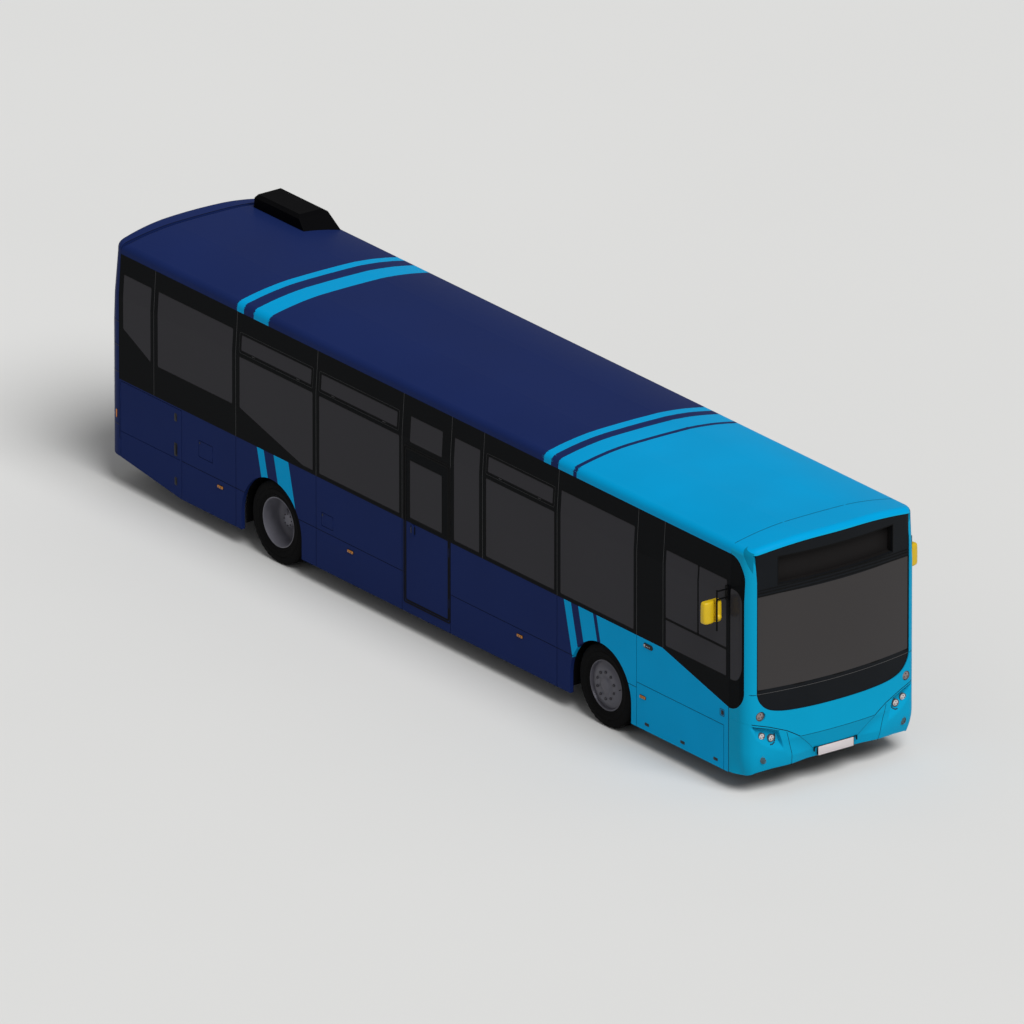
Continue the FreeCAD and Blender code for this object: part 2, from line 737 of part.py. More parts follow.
def destination_sign():
    """Box of the sign behind its opening, with the display set back in it."""
    rim = 24.0
    y, z0, z1 = SIGN_HALF + rim, SIGN_BOTTOM - rim, SIGN_TOP + rim
    outer = prism_x([(-y, z0), (y, z0), (y, z1), (-y, z1)], 0, NOSE + 100)
    block = skin_between(WALL + FIT, WALL + SIGN_DEPTH).common(outer)
    y, z0, z1 = SIGN_HALF, SIGN_BOTTOM, SIGN_TOP
    hole = prism_x([(-y, z0), (y, z0), (y, z1), (-y, z1)], 0, NOSE + 100)
    return block.cut(skin_between(0, WALL + SIGN_DEPTH - 30).common(hole))


# Lamps of the front
INDICATOR_OUT = 1070.0
INDICATOR_HEIGHT = 1012.0
INDICATOR_RADIUS = 60.0
HEAD_OUTER = (1040.0, 746.0, 48.0)
HEAD_INNER = (915.0, 708.0, 48.0)
FOG = (1020.0, 458.0, 52.0)
LAMP_POCKET = [(833, 765), (760, 540), (960, 585), (1100, 680), (1172, 846), (1000, 830)]
POCKET_DEPTH = 58.0
POCKET_WALL = 160.0
PLATE_HEIGHT = 398.0


def nose_at(y):
    return NOSE - y * y / (2 * NOSE_RADIUS)


def pocket_region(grow):
    made = []
    for sign in (1, -1):
        centre_y = sum(p[0] for p in LAMP_POCKET) / len(LAMP_POCKET)
        centre_z = sum(p[1] for p in LAMP_POCKET) / len(LAMP_POCKET)
        points = []
        for y, z in LAMP_POCKET:
            away = math.hypot(y - centre_y, z - centre_z)
            share = 1 + grow / away
            points.append((sign * (centre_y + (y - centre_y) * share), centre_z + (z - centre_z) * share))
        made.append(prism_x(points, NOSE - 500, NOSE + 100, 16.0))
    return made


CHIN_TOP = 664.0
CHIN_TOP_HALF = 550.0
CHIN_LOW = 180.0
CHIN_LOW_HALF = 300.0
CHIN_DEPTH = 86.0
CHIN_START = 0.5


def chin_cut():
    """The centre of the bumper slopes back below its crease, narrowing to the number plate."""
    slope = CHIN_DEPTH / (CHIN_TOP - PLATE_HEIGHT)
    front = NOSE + 60
    back = NOSE - CHIN_START - slope * (CHIN_TOP - CHIN_LOW)
    top_back = Vector(NOSE - CHIN_START, CHIN_TOP_HALF, CHIN_TOP)
    low_back = Vector(back, CHIN_LOW_HALF, CHIN_LOW)
    low_front = Vector(front, CHIN_TOP_HALF + 10, CHIN_LOW)
    wall = (low_back - top_back).cross(low_front - top_back)
    top_out = top_back.y - wall.x * (front - top_back.x) / wall.y
    top_front = Vector(front, top_out, CHIN_TOP)

    def other(point):
        return Vector(point.x, -point.y, point.z)

    left = [top_back, top_front, low_front, low_back]
    right = [other(point) for point in left]
    corners = [left, list(reversed(right))]
    for index in range(4):
        after = (index + 1) % 4
        corners.append([left[index], right[index], right[after], left[after]])
    faces = [Part.Face(Part.makePolygon(points + points[:1])) for points in corners]
    return Part.Solid(Part.Shell(faces))


def front_bumper():
    region = box(CAB_SEAM, NOSE + 100, -HALF_WIDTH - 50, HALF_WIDTH + 50, -300, FORM_TOP)
    thick = END_OUTER.cut(end_form(POCKET_WALL)).common(region)
    centre = thick.common(prism_x([(-600, 0), (600, 0), (600, 664), (-600, 664)], 0, NOSE + 100))
    pockets = [thick.common(shape) for shape in pocket_region(14.0)]
    bumper = fuse([END_SHELL.common(region), centre] + pockets)
    bumper = bumper.common(region_under(CREASE, -400)).cut([UNDERSIDE, chin_cut()])
    below = prism_x([(-700, 0), (700, 0), (330, 300), (-330, 300)], 0, NOSE + 200)
    recess = end_form(POCKET_DEPTH)
    pocket_holes = [shape.cut(recess) for shape in pocket_region(0.0)]
    fogs = [cylinder(FOG[2], 100, Vector(nose_at(FOG[0]) - 45, sign * FOG[0], FOG[1]), Vector(1, 0, 0))
            for sign in (1, -1)]
    joints = []
    for sign in (1, -1):
        half = GROOVE_WIDTH / 2
        points = [(sign * 733 - half, 775), (sign * 733 + half, 775), (sign * 651 + half, 471),
                  (sign * 640 + half, 150), (sign * 640 - half, 150), (sign * 651 - half, 471)]
        joints.append(prism_x(points, 0, NOSE + 50).common(END_GROOVES))
    return bumper.cut([below] + pocket_holes + fogs + joints)


LAMP_FLATS = 20


def lamp_barrel(y, z, radius, back, front):
    return bar(Vector(back, y, z), Vector(front, y, z), radius, LAMP_FLATS)


def front_lamps():
    pocket_floor = end_form(POCKET_DEPTH - FIT)
    made = []
    for sign in (1, -1):
        for y, z, radius in (HEAD_OUTER, HEAD_INNER):
            front = nose_at(y) - 22
            lamp = lamp_barrel(sign * y, z, radius - 2, front - 90, front)
            made.append(lamp.cut(pocket_floor))
        made.append(lamp_barrel(sign * INDICATOR_OUT, INDICATOR_HEIGHT, INDICATOR_RADIUS,
                                nose_at(INDICATOR_OUT) - 40, nose_at(INDICATOR_OUT) - 14))
        made.append(lamp_barrel(sign * FOG[0], FOG[1], FOG[2] - FIT, nose_at(FOG[0]) - 45 + FIT,
                                nose_at(FOG[0]) - 26))
    return made


# Rear: mask, hatch, window, bumper and lamps
HATCH_HALF = 860.0
HATCH_LOW = 640.0
HATCH_TOP = 1560.0
REAR_GLASS_HALF = 860.0
REAR_GLASS_LOW = 1800.0
REAR_GLASS_TOP = 2560.0
TAIL_BUMPER_TOP = 610.0
TAIL_LAMP_OUT = 1075.0
TAIL_LAMPS = [760.0, 900.0, 1040.0, 1180.0]
TAIL_LAMP_RADIUS = 55.0


def rear_box(half, low, top, gap, radius):
    y, z0, z1 = half + gap, low - gap, top + gap
    return prism_x([(-y, z0), (y, z0), (y, z1), (-y, z1)], TAIL - 100, TAIL + 400, radius)


def rear_mask():
    region = box(TAIL - 100, TAIL_SEAM, -HALF_WIDTH - 50, HALF_WIDTH + 50, TAIL_BUMPER_TOP, FORM_TOP)
    mask = END_SHELL.common(region)
    cuts = [
        rear_box(HATCH_HALF, HATCH_LOW, HATCH_TOP, DOOR_GAP, 30.0),
        rear_box(REAR_GLASS_HALF, REAR_GLASS_LOW, REAR_GLASS_TOP, 0.0, 40.0),
    ]
    for z in TAIL_LAMPS:
        for y in (TAIL_LAMP_OUT, -TAIL_LAMP_OUT):
            cuts.append(cylinder(TAIL_LAMP_RADIUS + FIT, 400, Vector(TAIL - 100, y, z), Vector(1, 0, 0)))
    for z in (2115.0, 1810.0, 1470.0, 798.0):
        for y0, y1 in ((900, HALF_WIDTH + 50), (-HALF_WIDTH - 50, -900)):
            cuts.append(box(TAIL - 50, TAIL_SEAM, y0, y1, z, z + GROOVE_WIDTH).common(END_GROOVES))
    return mask.cut(cuts)


def rear_bumper():
    region = box(TAIL - 100, TAIL_SEAM, -HALF_WIDTH - 50, HALF_WIDTH + 50, TAIL_BOTTOM, TAIL_BUMPER_TOP)
    bumper = END_SHELL.common(region)
    plate = box(TAIL - 50, TAIL + 14, -290, 290, 455, 575)
    return bumper.cut(plate)


def rear_lamps():
    made = []
    for sign in (1, -1):
        for z in TAIL_LAMPS:
            face = TAIL + TAIL_LAMP_OUT ** 2 / (2 * TAIL_RADIUS) + 22
            made.append(lamp_barrel(sign * TAIL_LAMP_OUT, z, TAIL_LAMP_RADIUS, face, face + 60))
    return made


def rear_window():
    region = rear_box(REAR_GLASS_HALF, REAR_GLASS_LOW, REAR_GLASS_TOP, -FIT, 40.0)
    return END_PANES.common(region)


SLOT_ROWS = 7
SLOT_LOW = 1130.0
SLOT_HEIGHT = 26.0


def engine_hatch():
    """Lifting cover over the engine, with a grille of slots through it."""
    hatch = END_SHELL.common(rear_box(HATCH_HALF, HATCH_LOW, HATCH_TOP, 0.0, 30.0))
    slots = []
    for row in range(SLOT_ROWS):
        z = SLOT_LOW + row * 2 * SLOT_HEIGHT
        for y0, y1 in ((-700, -30), (30, 700)):
            slots.append(box(TAIL - 100, TAIL + 400, y0, y1, z, z + SLOT_HEIGHT))
    hinges = []
    axis_z = HATCH_TOP + DOOR_GAP / 2
    for y in (-170.0, 60.0):
        hinges.append(cylinder(BARREL_RADIUS, 110, Vector(TAIL, y, axis_z), Vector(0, 1, 0)))
        hinges.append(box(TAIL, TAIL + 5, y, y + 110, HATCH_TOP - 3, axis_z))
    return fuse([hatch.cut(slots)] + hinges)


# Wheel boxes, floor and frame
LINER_FLATS = 16


def liner_profile(centre, radius, low):
    """Outline of a wheel box or of its clearance: straight legs under a faceted arch."""
    arch = arc_points(centre, TYRE_RADIUS, radius, LINER_FLATS)
    return [(centre - radius, low)] + arch + [(centre + radius, low)]


def wheel_boxes():
    made = []
    outer_y = HALF_WIDTH - WALL - 2
    for centre in (FRONT_AXLE, REAR_AXLE):
        outline_points = liner_profile(centre, LINER_RADIUS + LINER_WALL, LINER_BOTTOM)
        block = prism_y(outline_points, LINER_INNER, outer_y)
        hollow = prism_y(liner_profile(centre, LINER_RADIUS, LINER_BOTTOM - 10), LINER_INNER + LINER_WALL,
                         outer_y + 10)
        arch = block.cut(hollow)
        if centre == REAR_AXLE:
            arch = arch.cut(cylinder(CASING_RADIUS + 8, 40, Vector(centre, LINER_INNER - 10, TYRE_RADIUS),
                                     Vector(0, 1, 0)))
        made += both_sides(arch)
    return made


def liner_clear(centre):
    """Space that the wheel boxes take out of the floor."""
    grown = liner_profile(centre, LINER_RADIUS + LINER_WALL + FIT, 0)
    inner = LINER_INNER - FIT
    return [prism_y(grown, inner, HALF_WIDTH), prism_y(grown, -HALF_WIDTH, -inner)]


# Wheelchair bay opposite the doors, with a raised mat
BAY_REAR = at(-3080.0)
BAY_LENGTH = 1300.0
BAY_WIDTH = 750.0
BAY_OUT = 1150.0
MAT = 4.0

FLOOR_FRONT = at(2700.0)
FLOOR_REAR = TAIL + 420.0


def floor_deck():
    tops = [(FLOOR_FRONT, FLOOR_TOP)]
    level = FLOOR_TOP
    for x, height in STEP_TOPS:
        tops += [(at(x), level), (at(x), height)]
        level = height
    tops.append((FLOOR_REAR, level))
    bottoms = []
    for x, z in reversed(tops):
        shift = 0 if x in (FLOOR_FRONT, FLOOR_REAR) else FLOOR_THICKNESS
        bottoms.append((x - shift, z - FLOOR_THICKNESS))
    points = tops + bottoms
    deck = prism_y(points, -FLOOR_HALF_WIDTH, FLOOR_HALF_WIDTH)
    deck = deck.cut(liner_clear(FRONT_AXLE) + liner_clear(REAR_AXLE))
    mat = box(BAY_REAR, BAY_REAR + BAY_LENGTH, -BAY_OUT, -BAY_OUT + BAY_WIDTH,
              FLOOR_TOP - FLOOR_THICKNESS / 2, FLOOR_TOP + MAT)
    return fuse([deck.common(end_form(WALL + 20)), mat])


RAIL_OUT = 420.0
RAIL_WIDTH = 80.0
RAIL_LOW = 246.0
RAIL_TOP = FLOOR_TOP - FLOOR_THICKNESS - FIT
REAR_RAIL_LOW = 790.0
REAR_RAIL_TOP = REAR_FLOOR - FLOOR_THICKNESS - FIT
RAIL_DEPTH = 60.0
CROSS_MEMBER_HALF = 40.0
LOW_CROSS_MEMBERS = [2560.0, 760.0, -900.0, -1750.0, -2600.0, -3450.0]
HIGH_CROSS_MEMBERS = [-5500.0, -7300.0, -8200.0]
RAMP_START = at(STEP_TOPS[0][0]) - FLOOR_THICKNESS - FIT
RAMP_END = at(STEP_TOPS[-1][0]) - FLOOR_THICKNESS - FIT
RAMP_TOP = STEP_TOPS[-2][1] - FLOOR_THICKNESS - FIT


def cross_member(x, low, top):
    """A beam across the bus at one station, in three lengths between and outside the rails."""
    half = HALF_WIDTH - WALL - FIT
    inner = RAIL_OUT - FIT
    outer = RAIL_OUT + RAIL_WIDTH + FIT
    return [box(x - CROSS_MEMBER_HALF, x + CROSS_MEMBER_HALF, y0, y1, low, top)
            for y0, y1 in ((-half, -outer), (-inner, inner), (outer, half))]


def chassis_frame():
    """Two longitudinal rails in three bolted lengths, with cross members and outriggers."""
    front = rectangle(RAMP_START + FIT, at(2660), RAIL_LOW, RAIL_TOP)
    upright = RAMP_END - RAIL_DEPTH
    upright_top = REAR_RAIL_TOP - RAIL_DEPTH
    ramp = [(RAMP_START, RAIL_LOW), (RAMP_START, RAIL_TOP), (RAMP_END, RAMP_TOP), (RAMP_END, upright_top),
            (upright, upright_top), (upright, RAMP_TOP - RAIL_DEPTH), (RAMP_START - 100, RAIL_LOW)]
    rear = rectangle(TAIL + 500, upright - FIT, REAR_RAIL_LOW, REAR_RAIL_TOP)
    pieces = []
    for y in (RAIL_OUT, -RAIL_OUT - RAIL_WIDTH):
        pieces += [prism_y(points, y, y + RAIL_WIDTH) for points in (front, ramp, rear)]
    for x in LOW_CROSS_MEMBERS:
        pieces += cross_member(at(x), RAIL_LOW, RAIL_TOP)
    for x in HIGH_CROSS_MEMBERS:
        pieces += cross_member(at(x), REAR_RAIL_LOW, REAR_RAIL_TOP)
    return pieces


ENGINE_FRONT = at(-8260.0)


def engine_block():
    """Engine and gearbox, one plain block hung between the rails behind the rear axle."""
    return box(TAIL + 560, ENGINE_FRONT, -RAIL_OUT + FIT, RAIL_OUT - FIT, 380, REAR_RAIL_LOW + 40)


def front_beam():
    """Drop beam that dips under the low floor, with pads for the rails and a yoke at each kingpin."""
    end = KINGPIN + KINGPIN_BOSS
    half = [
        (0, BEAM_LOW), (570, BEAM_LOW), (815, YOKE_LOW), (end, YOKE_LOW), (end, YOKE_LOW + YOKE_ARM),
        (870, YOKE_LOW + YOKE_ARM), (870, YOKE_TOP - YOKE_ARM), (end, YOKE_TOP - YOKE_ARM),
        (end, YOKE_TOP), (800, YOKE_TOP), (800, 480), (555, BEAM_LOW + 72), (0, BEAM_LOW + 72),
    ]
    other = [(-y, z) for y, z in reversed(half[1:-1])]
    beam = prism_x(half[1:-1] + other, FRONT_AXLE - 45, FRONT_AXLE + 45)
    pads = [box(FRONT_AXLE - 45, FRONT_AXLE + 45, y, y + RAIL_WIDTH, BEAM_LOW + 60, RAIL_LOW - FIT)
            for y in (RAIL_OUT, -RAIL_OUT - RAIL_WIDTH)]
    return fuse([beam] + pads)


def rear_casing():
    """Drive axle: casing tubes, the round gear housing and the shaft from the engine."""
    tube_end = TWIN_MIDDLE - 20
    housing = turned([(-140, 0), (-140, 160), (-80, 215), (80, 215), (140, 160), (140, 0)], REAR_AXLE, 24)
    return fuse([
        cylinder(CASING_RADIUS, 2 * tube_end, Vector(REAR_AXLE, -tube_end, TYRE_RADIUS), Vector(0, 1, 0)),
        housing,
        cylinder(60, REAR_AXLE - ENGINE_FRONT - FIT, Vector(ENGINE_FRONT + FIT, 0, TYRE_RADIUS + 10),
                 Vector(1, 0, 0)),
    ])


def knuckle(sign):
    """Steering knuckle: kingpin boss between the yoke arms and a stub axle."""
    low = YOKE_LOW + YOKE_ARM + FIT
    boss = cylinder(KINGPIN_BOSS, YOKE_TOP - YOKE_ARM - FIT - low, Vector(FRONT_AXLE, sign * KINGPIN, low),
                    Vector(0, 0, 1))
    stub_length = WHEEL_FACE - STUB_SHORT - KINGPIN
    stub = cylinder(STUB_RADIUS, stub_length, Vector(FRONT_AXLE, sign * KINGPIN, TYRE_RADIUS),
                    Vector(0, sign, 0))
    return fuse([boss, stub])


def tyre(x_centre, y_centre):
    """Tyre turned with flats all round, from bead to tread."""
    side = TYRE_WIDTH / 2
    half = [(side - 30, RIM_RADIUS), (side, RIM_RADIUS + 90), (side - 8, TYRE_RADIUS - TYRE_SHOULDER),
            (side - TYRE_SHOULDER, TYRE_RADIUS)]
    section = half + [(-y, radius) for y, radius in reversed(half)]
    return turned([(y_centre + y, radius) for y, radius in section], x_centre, WHEEL_FLATS)


def wheel_nuts(x_centre, start, end):
    """Ten six-sided nuts on their circle."""
    nuts = []
    for index in range(NUT_COUNT):
        angle = 2 * math.pi * (index + 0.5) / NUT_COUNT
        x = x_centre + NUT_CIRCLE * math.cos(angle)
        z = TYRE_RADIUS + NUT_CIRCLE * math.sin(angle)
        nuts.append(turned([(start, 0), (start, NUT_RADIUS), (end, NUT_RADIUS), (end, 0)], x, 6, z))
    return nuts


def bored_hub(x_centre, outer, bore, start, end):
    """Hub drum with flats outside and a round bore for its axle."""
    drum = turned([(start, 0), (start, outer), (end, outer), (end, 0)], x_centre, 24)
    return drum.cut(cylinder(bore, end - start, Vector(x_centre, start, TYRE_RADIUS), Vector(0, 1, 0)))


def front_rim(sign):
    """Steel rim with a nearly flat disc at its face, dished towards the hub."""
    face = WHEEL_FACE
    r = RIM_RADIUS - FIT
    well = r - RIM_WALL
    lip = face - 22
    inner_lip = face - TYRE_WIDTH + 22
    section = [
        (lip, r), (lip, well), (face - 50, well), (face - 34, 235), (face - 20, 200), (face - 20, 115),
        (face - 6, 88), (face - 6, 0), (face - 50, 0), (face - 56, 200), (face - 62, well),
        (inner_lip, well), (inner_lip, r),
    ]
    disc = turned(section, FRONT_AXLE, WHEEL_FLATS)
    hub = bored_hub(FRONT_AXLE, HUB_RADIUS, STUB_RADIUS + FIT, face - 130, face - 50)
    rim = fuse([disc, hub] + wheel_nuts(FRONT_AXLE, face - 30, face + 2))
    return rim if sign > 0 else mirrored(rim)


def rear_rims(sign):
    """Twin rims back to back: the outer one is deeply dished to its hub."""
    middle = TWIN_MIDDLE
    reach = TWIN_SPACING / 2 + TYRE_WIDTH / 2 - 22
    r = RIM_RADIUS - FIT
    well = r - RIM_WALL
    section = [
        (reach, r), (reach, well), (70, well), (22, 240), (12, 95), (150, 82), (158, 0),
        (-12, 0), (-12, 95), (-12, 240), (-70, well), (-reach, well), (-reach, r),
    ]
    drum = turned([(middle + y, radius) for y, radius in section], REAR_AXLE, WHEEL_FLATS)
    hub = bored_hub(REAR_AXLE, HUB_RADIUS + 25, CASING_RADIUS + FIT, REAR_HUB_START, middle - 6)
    rim = fuse([drum, hub] + wheel_nuts(REAR_AXLE, middle + 8, middle + 42))
    return rim if sign > 0 else mirrored(rim)


# Doors
BARREL_RADIUS = DOOR_GAP / 2 - FIT


def upright_hinge(x_axis, toward, heights, length=110.0):
    """Barrels on an upright line in the gap beside a door, each on a thin leaf of the door."""
    made = []
    for z in heights:
        base = Vector(x_axis, -HALF_WIDTH, z - length / 2)
        barrel = cylinder(BARREL_RADIUS, length, base, Vector(0, 0, 1))
        x0, x1 = sorted((x_axis, x_axis + toward * (DOOR_GAP / 2 + 2)))
        leaf = box(x0, x1, -HALF_WIDTH, -HALF_WIDTH + 3, z - length / 2, z + length / 2)
        made += [barrel, leaf]
    return made


EMERGENCY_WINDOW = rectangle(at(-3769), at(-3140), 1452, 2180)


def emergency_door():
    door = MIDDLE_SHELL.common(emergency_region(0.0))
    door = door.cut(window_cutters([EMERGENCY_WINDOW], -1))
    handle = box(at(-3720), at(-3680), -HALF_WIDTH - 14, -HALF_WIDTH + 2, 1240, 1380)
    hinges = upright_hinge(at(EMERGENCY_FRONT) + DOOR_GAP / 2, -1, (600.0, 1250.0, 2100.0))
    return fuse([door, handle] + hinges)


def emergency_glass():
    return panes([EMERGENCY_WINDOW], -1)[0]


LEAF_THICKNESS = 36.0
LEAF_OUT = HALF_WIDTH - 6.0
LEAF_JAMB = 46.0
LEAF_OVER = 32.0
LEAF_MIDDLE_GAP = 10.0
LEAF_LOW = FLOOR_SILL + 6.0
ARM_THICKNESS = 10.0
ARM_GAP = 5.0
LEAF_TOP = DOORWAY_TOP - ARM_THICKNESS - 2 * ARM_GAP
POST_RADIUS = 17.0
PIN_RADIUS = 12.0
DOORWAY_MIDDLE = (DOORWAY_REAR + DOORWAY_FRONT) / 2
PIVOT_FRONT = DOORWAY_FRONT - LEAF_JAMB
PIVOT_REAR = DOORWAY_REAR + LEAF_JAMB
LEAF_REACH = PIVOT_FRONT - DOORWAY_MIDDLE - LEAF_MIDDLE_GAP / 2
LEAF_LINE = LEAF_OUT - LEAF_THICKNESS / 2


def passenger_leaf(x0, x1):
    """One leaf with a tall glazed opening."""
    leaf = box(x0, x1, LEAF_OUT - LEAF_THICKNESS, LEAF_OUT, LEAF_LOW, LEAF_TOP)
    hole = prism_y(rectangle(x0 + 70, x1 - 70, LEAF_LOW + 150, LEAF_TOP - 130), LEAF_OUT - 100,
                   LEAF_OUT + 50, 40.0)
    return leaf.cut(hole)


def passenger_pane(x0, x1):
    points = rectangle(x0 + 70 + FIT, x1 - 70 - FIT, LEAF_LOW + 150 + FIT, LEAF_TOP - 130 - FIT)
    return prism_y(points, LEAF_OUT - LEAF_THICKNESS / 2 - 3, LEAF_OUT - LEAF_THICKNESS / 2 + 3, 40.0)


def leaf_front():
    return at(PIVOT_FRONT - LEAF_REACH), at(PIVOT_FRONT + LEAF_OVER)


def leaf_rear():
    return at(PIVOT_REAR - LEAF_OVER), at(PIVOT_REAR + LEAF_REACH)


# Cab and saloon
SEAT_WIDTH = 430.0
SEAT_WINDOW = 960.0
SEAT_AISLE = 525.0
SEAT_DEPTH = 420.0
SEAT_HEIGHT = 1050.0
CUSHION_LOW = 395.0
CUSHION_RISE = 20.0
CUSHION_THICKNESS = 65.0
BACK_RAKE = 125.0
LEG_BACK = 160.0


def seat(x, y, floor, width=SEAT_WIDTH):
    """Seat with a cushion, a raked back and a leg; x is the front of the cushion."""
    y0, y1 = y - width / 2, y + width / 2
    rear = x - SEAT_DEPTH
    under = floor + CUSHION_LOW
    top = under + CUSHION_THICKNESS
    profile = [(rear, under), (x, under + CUSHION_RISE), (x, top + CUSHION_RISE), (rear, top)]
    cushion = prism_y(profile, y0, y1)
    foot = rear - FIT
    back = prism_y([(foot, under), (foot - BACK_RAKE, floor + SEAT_HEIGHT - 10),
                    (foot - BACK_RAKE + 55, floor + SEAT_HEIGHT), (foot, top + 60)], y0, y1)
    leg_top = under + CUSHION_RISE * LEG_BACK / SEAT_DEPTH - FIT
    leg = box(rear + LEG_BACK, rear + LEG_BACK + 60, y0 + 60, y1 - 60, floor, leg_top)
    return [cushion, back, leg]


def seats():
    made = []
    for x in (-1180.0, -1940.0, -2700.0):
        made += seat(at(x), SEAT_WINDOW, FLOOR_TOP)
        made += seat(at(x), SEAT_AISLE, FLOOR_TOP)
    made += seat(at(-1180.0), -SEAT_WINDOW, FLOOR_TOP)
    made += seat(at(-1180.0), -SEAT_AISLE, FLOOR_TOP)
    for x in (-4700.0, -5460.0, -7750.0, -8510.0):
        for y in (SEAT_WINDOW, SEAT_AISLE, -SEAT_AISLE, -SEAT_WINDOW):
            made += seat(at(x), y, REAR_FLOOR)
    made += seat(at(1860.0), DRIVER_Y, CAB_FLOOR, 480.0)
    return made


CAB_FLOOR = 640.0
DRIVER_Y = -640.0
CAB_FRONT = at(2560.0)
DASH_FRONT = at(2740.0)
DASH_STEP = 960.0
DASH_OUT = HALF_WIDTH - POCKET_WALL - 10.0
STEERING_RADIUS = 235.0


def driver_cab():
    """Cab platform, dashboard, steering wheel and the screen behind the driver."""
    platform = box(at(960), at(2500), -FLOOR_HALF_WIDTH + 20, -300, CAB_FLOOR - 40, CAB_FLOOR - FIT)
    riser = box(at(960), at(2500), -340, -300, FLOOR_TOP + FIT, CAB_FLOOR - 40)
    dash = prism_y([(at(2320), CAB_FLOOR + 20), (CAB_FRONT, CAB_FLOOR + 20), (CAB_FRONT, DASH_STEP),
                    (DASH_FRONT, DASH_STEP), (DASH_FRONT, 1280), (CAB_FRONT, 1330), (at(2360), 1240)],
                   -DASH_OUT, -290)
    dash = dash.common(end_form(WALL + 30))
    legs = box(at(2330), at(2400), -DASH_OUT + 20, -320, CAB_FLOOR - FIT, CAB_FLOOR + 20)
    centre = Vector(at(2275), DRIVER_Y, 1350)
    column = rod(Vector(at(2420), DRIVER_Y, 1140), centre, 26)
    rim = turned([(-14, STEERING_RADIUS - 8), (-14, STEERING_RADIUS + 8), (0, STEERING_RADIUS + 16),
                  (14, STEERING_RADIUS + 8), (14, STEERING_RADIUS - 8), (0, STEERING_RADIUS - 16)],
                 0, 32, 0)
    rim.rotate(Vector(0, 0, 0), Vector(1, 0, 0), 90)
    rim.rotate(Vector(0, 0, 0), Vector(0, 1, 0), -25)
    rim.translate(centre)
    spokes = box(centre.x - 14, centre.x + 14, DRIVER_Y - STEERING_RADIUS, DRIVER_Y + STEERING_RADIUS,
                 centre.z - 8, centre.z + 8)
    rear_screen = box(at(960), at(985), -FLOOR_HALF_WIDTH + 40, -300, CAB_FLOOR - FIT, 2350)
    side_screen = box(at(985), at(2200), -330, -305, CAB_FLOOR - FIT, 1500)
    return fuse([platform, riser, dash, legs, column, rim, spokes, rear_screen, side_screen])


POLE_RADIUS = 17.0
RAIL_LINE = 280.0
BELLOWS_OUT = 405.0
BELLOWS_RADIUS = 100.0
BAG_PLATE = 24.0
BAG_FLATS = 20


RAIL_HEIGHT = 2850.0
RAIL_REAR = at(-8900.0)
RAIL_FRONT = at(600.0)
HIGH_POLES = [-8400.0, -6900.0, -5100.0]
LOW_POLES = [-3600.0, -1700.0, -650.0, 550.0]


def handrails():
    """Poles from floor to ceiling with lengths of rail between them, each side of the aisle."""
    flat_half, flat_drop = CROWN[1]
    drop = flat_drop * ((RAIL_LINE + POLE_RADIUS) / flat_half) ** 2
    ceiling = ROOF_TOP - drop - WALL - FIT
    pole_flat = POLE_RADIUS * math.cos(math.pi / BAR_FLATS)
    made = []
    for y in (RAIL_LINE, -RAIL_LINE):
        rail_start = RAIL_REAR
        for x, floor in [(x, REAR_FLOOR) for x in HIGH_POLES] + [(x, FLOOR_TOP) for x in LOW_POLES]:
            made.append(bar(Vector(at(x), y, floor + FIT), Vector(at(x), y, ceiling), POLE_RADIUS))
            rail_end = at(x) - pole_flat - FIT
            made.append(bar(Vector(rail_start, y, RAIL_HEIGHT), Vector(rail_end, y, RAIL_HEIGHT),
                            POLE_RADIUS))
            rail_start = at(x) + pole_flat + FIT
        made.append(bar(Vector(rail_start, y, RAIL_HEIGHT), Vector(RAIL_FRONT, y, RAIL_HEIGHT),
                        POLE_RADIUS))
    return made


def underfloor_tanks():
    """Fuel tank behind its filler flap, hung under the outriggers."""
    fuel = box(at(-5580), at(-5000), -1150, -560, 440, REAR_RAIL_LOW - FIT)
    low_edges = [edge for edge in fuel.Edges if edge.BoundBox.YLength > 100 and edge.BoundBox.ZMin < 500]
    return [fuel.makeFillet(40, low_edges)]


def suspension_units():
    """Air bellows on a spring beam over each end of the rear axle."""
    made = []
    beam_low = TYRE_RADIUS + CASING_RADIUS + FIT
    for y in (BELLOWS_OUT, -BELLOWS_OUT):
        beam = box(REAR_AXLE - 430, REAR_AXLE + 430, y - 35, y + 35, beam_low, beam_low + 34)
        bellows = []
        for x in (REAR_AXLE - 330, REAR_AXLE + 330):
            foot = Vector(x, y, beam_low + 34)
            bag_foot = foot + Vector(0, 0, BAG_PLATE)
            bag_top = Vector(x, y, REAR_RAIL_LOW - FIT)
            bellows.append(bar(foot, bag_foot, BELLOWS_RADIUS - 14, BAG_FLATS))
            bellows.append(bar(bag_foot, bag_top, BELLOWS_RADIUS, BAG_FLATS))
        made.append(fuse([beam] + bellows))
    return made


# Mirrors
MIRROR_X = at(2430.0)
MIRROR_OUT = 1430.0
ARM_TUBE = 10.0


def mirror_arm():
    """Upper and lower arms from the corner to a vertical tube, left side."""
    side = HALF_WIDTH + FIT
    tube_x = MIRROR_X + 30
    base = box(MIRROR_X - 28, MIRROR_X + 22, side, side + 18, 2400, 2580)
    top = bar(Vector(MIRROR_X, side + 9, 2540), Vector(tube_x, MIRROR_OUT, 2556), ARM_TUBE)
    low = bar(Vector(MIRROR_X, side + 9, 2440), Vector(tube_x, MIRROR_OUT, 2450), ARM_TUBE)
    tube = bar(Vector(tube_x, MIRROR_OUT, 2060), Vector(tube_x, MIRROR_OUT, 2572), ARM_TUBE + 1)
    return fuse([base, top, low, tube])


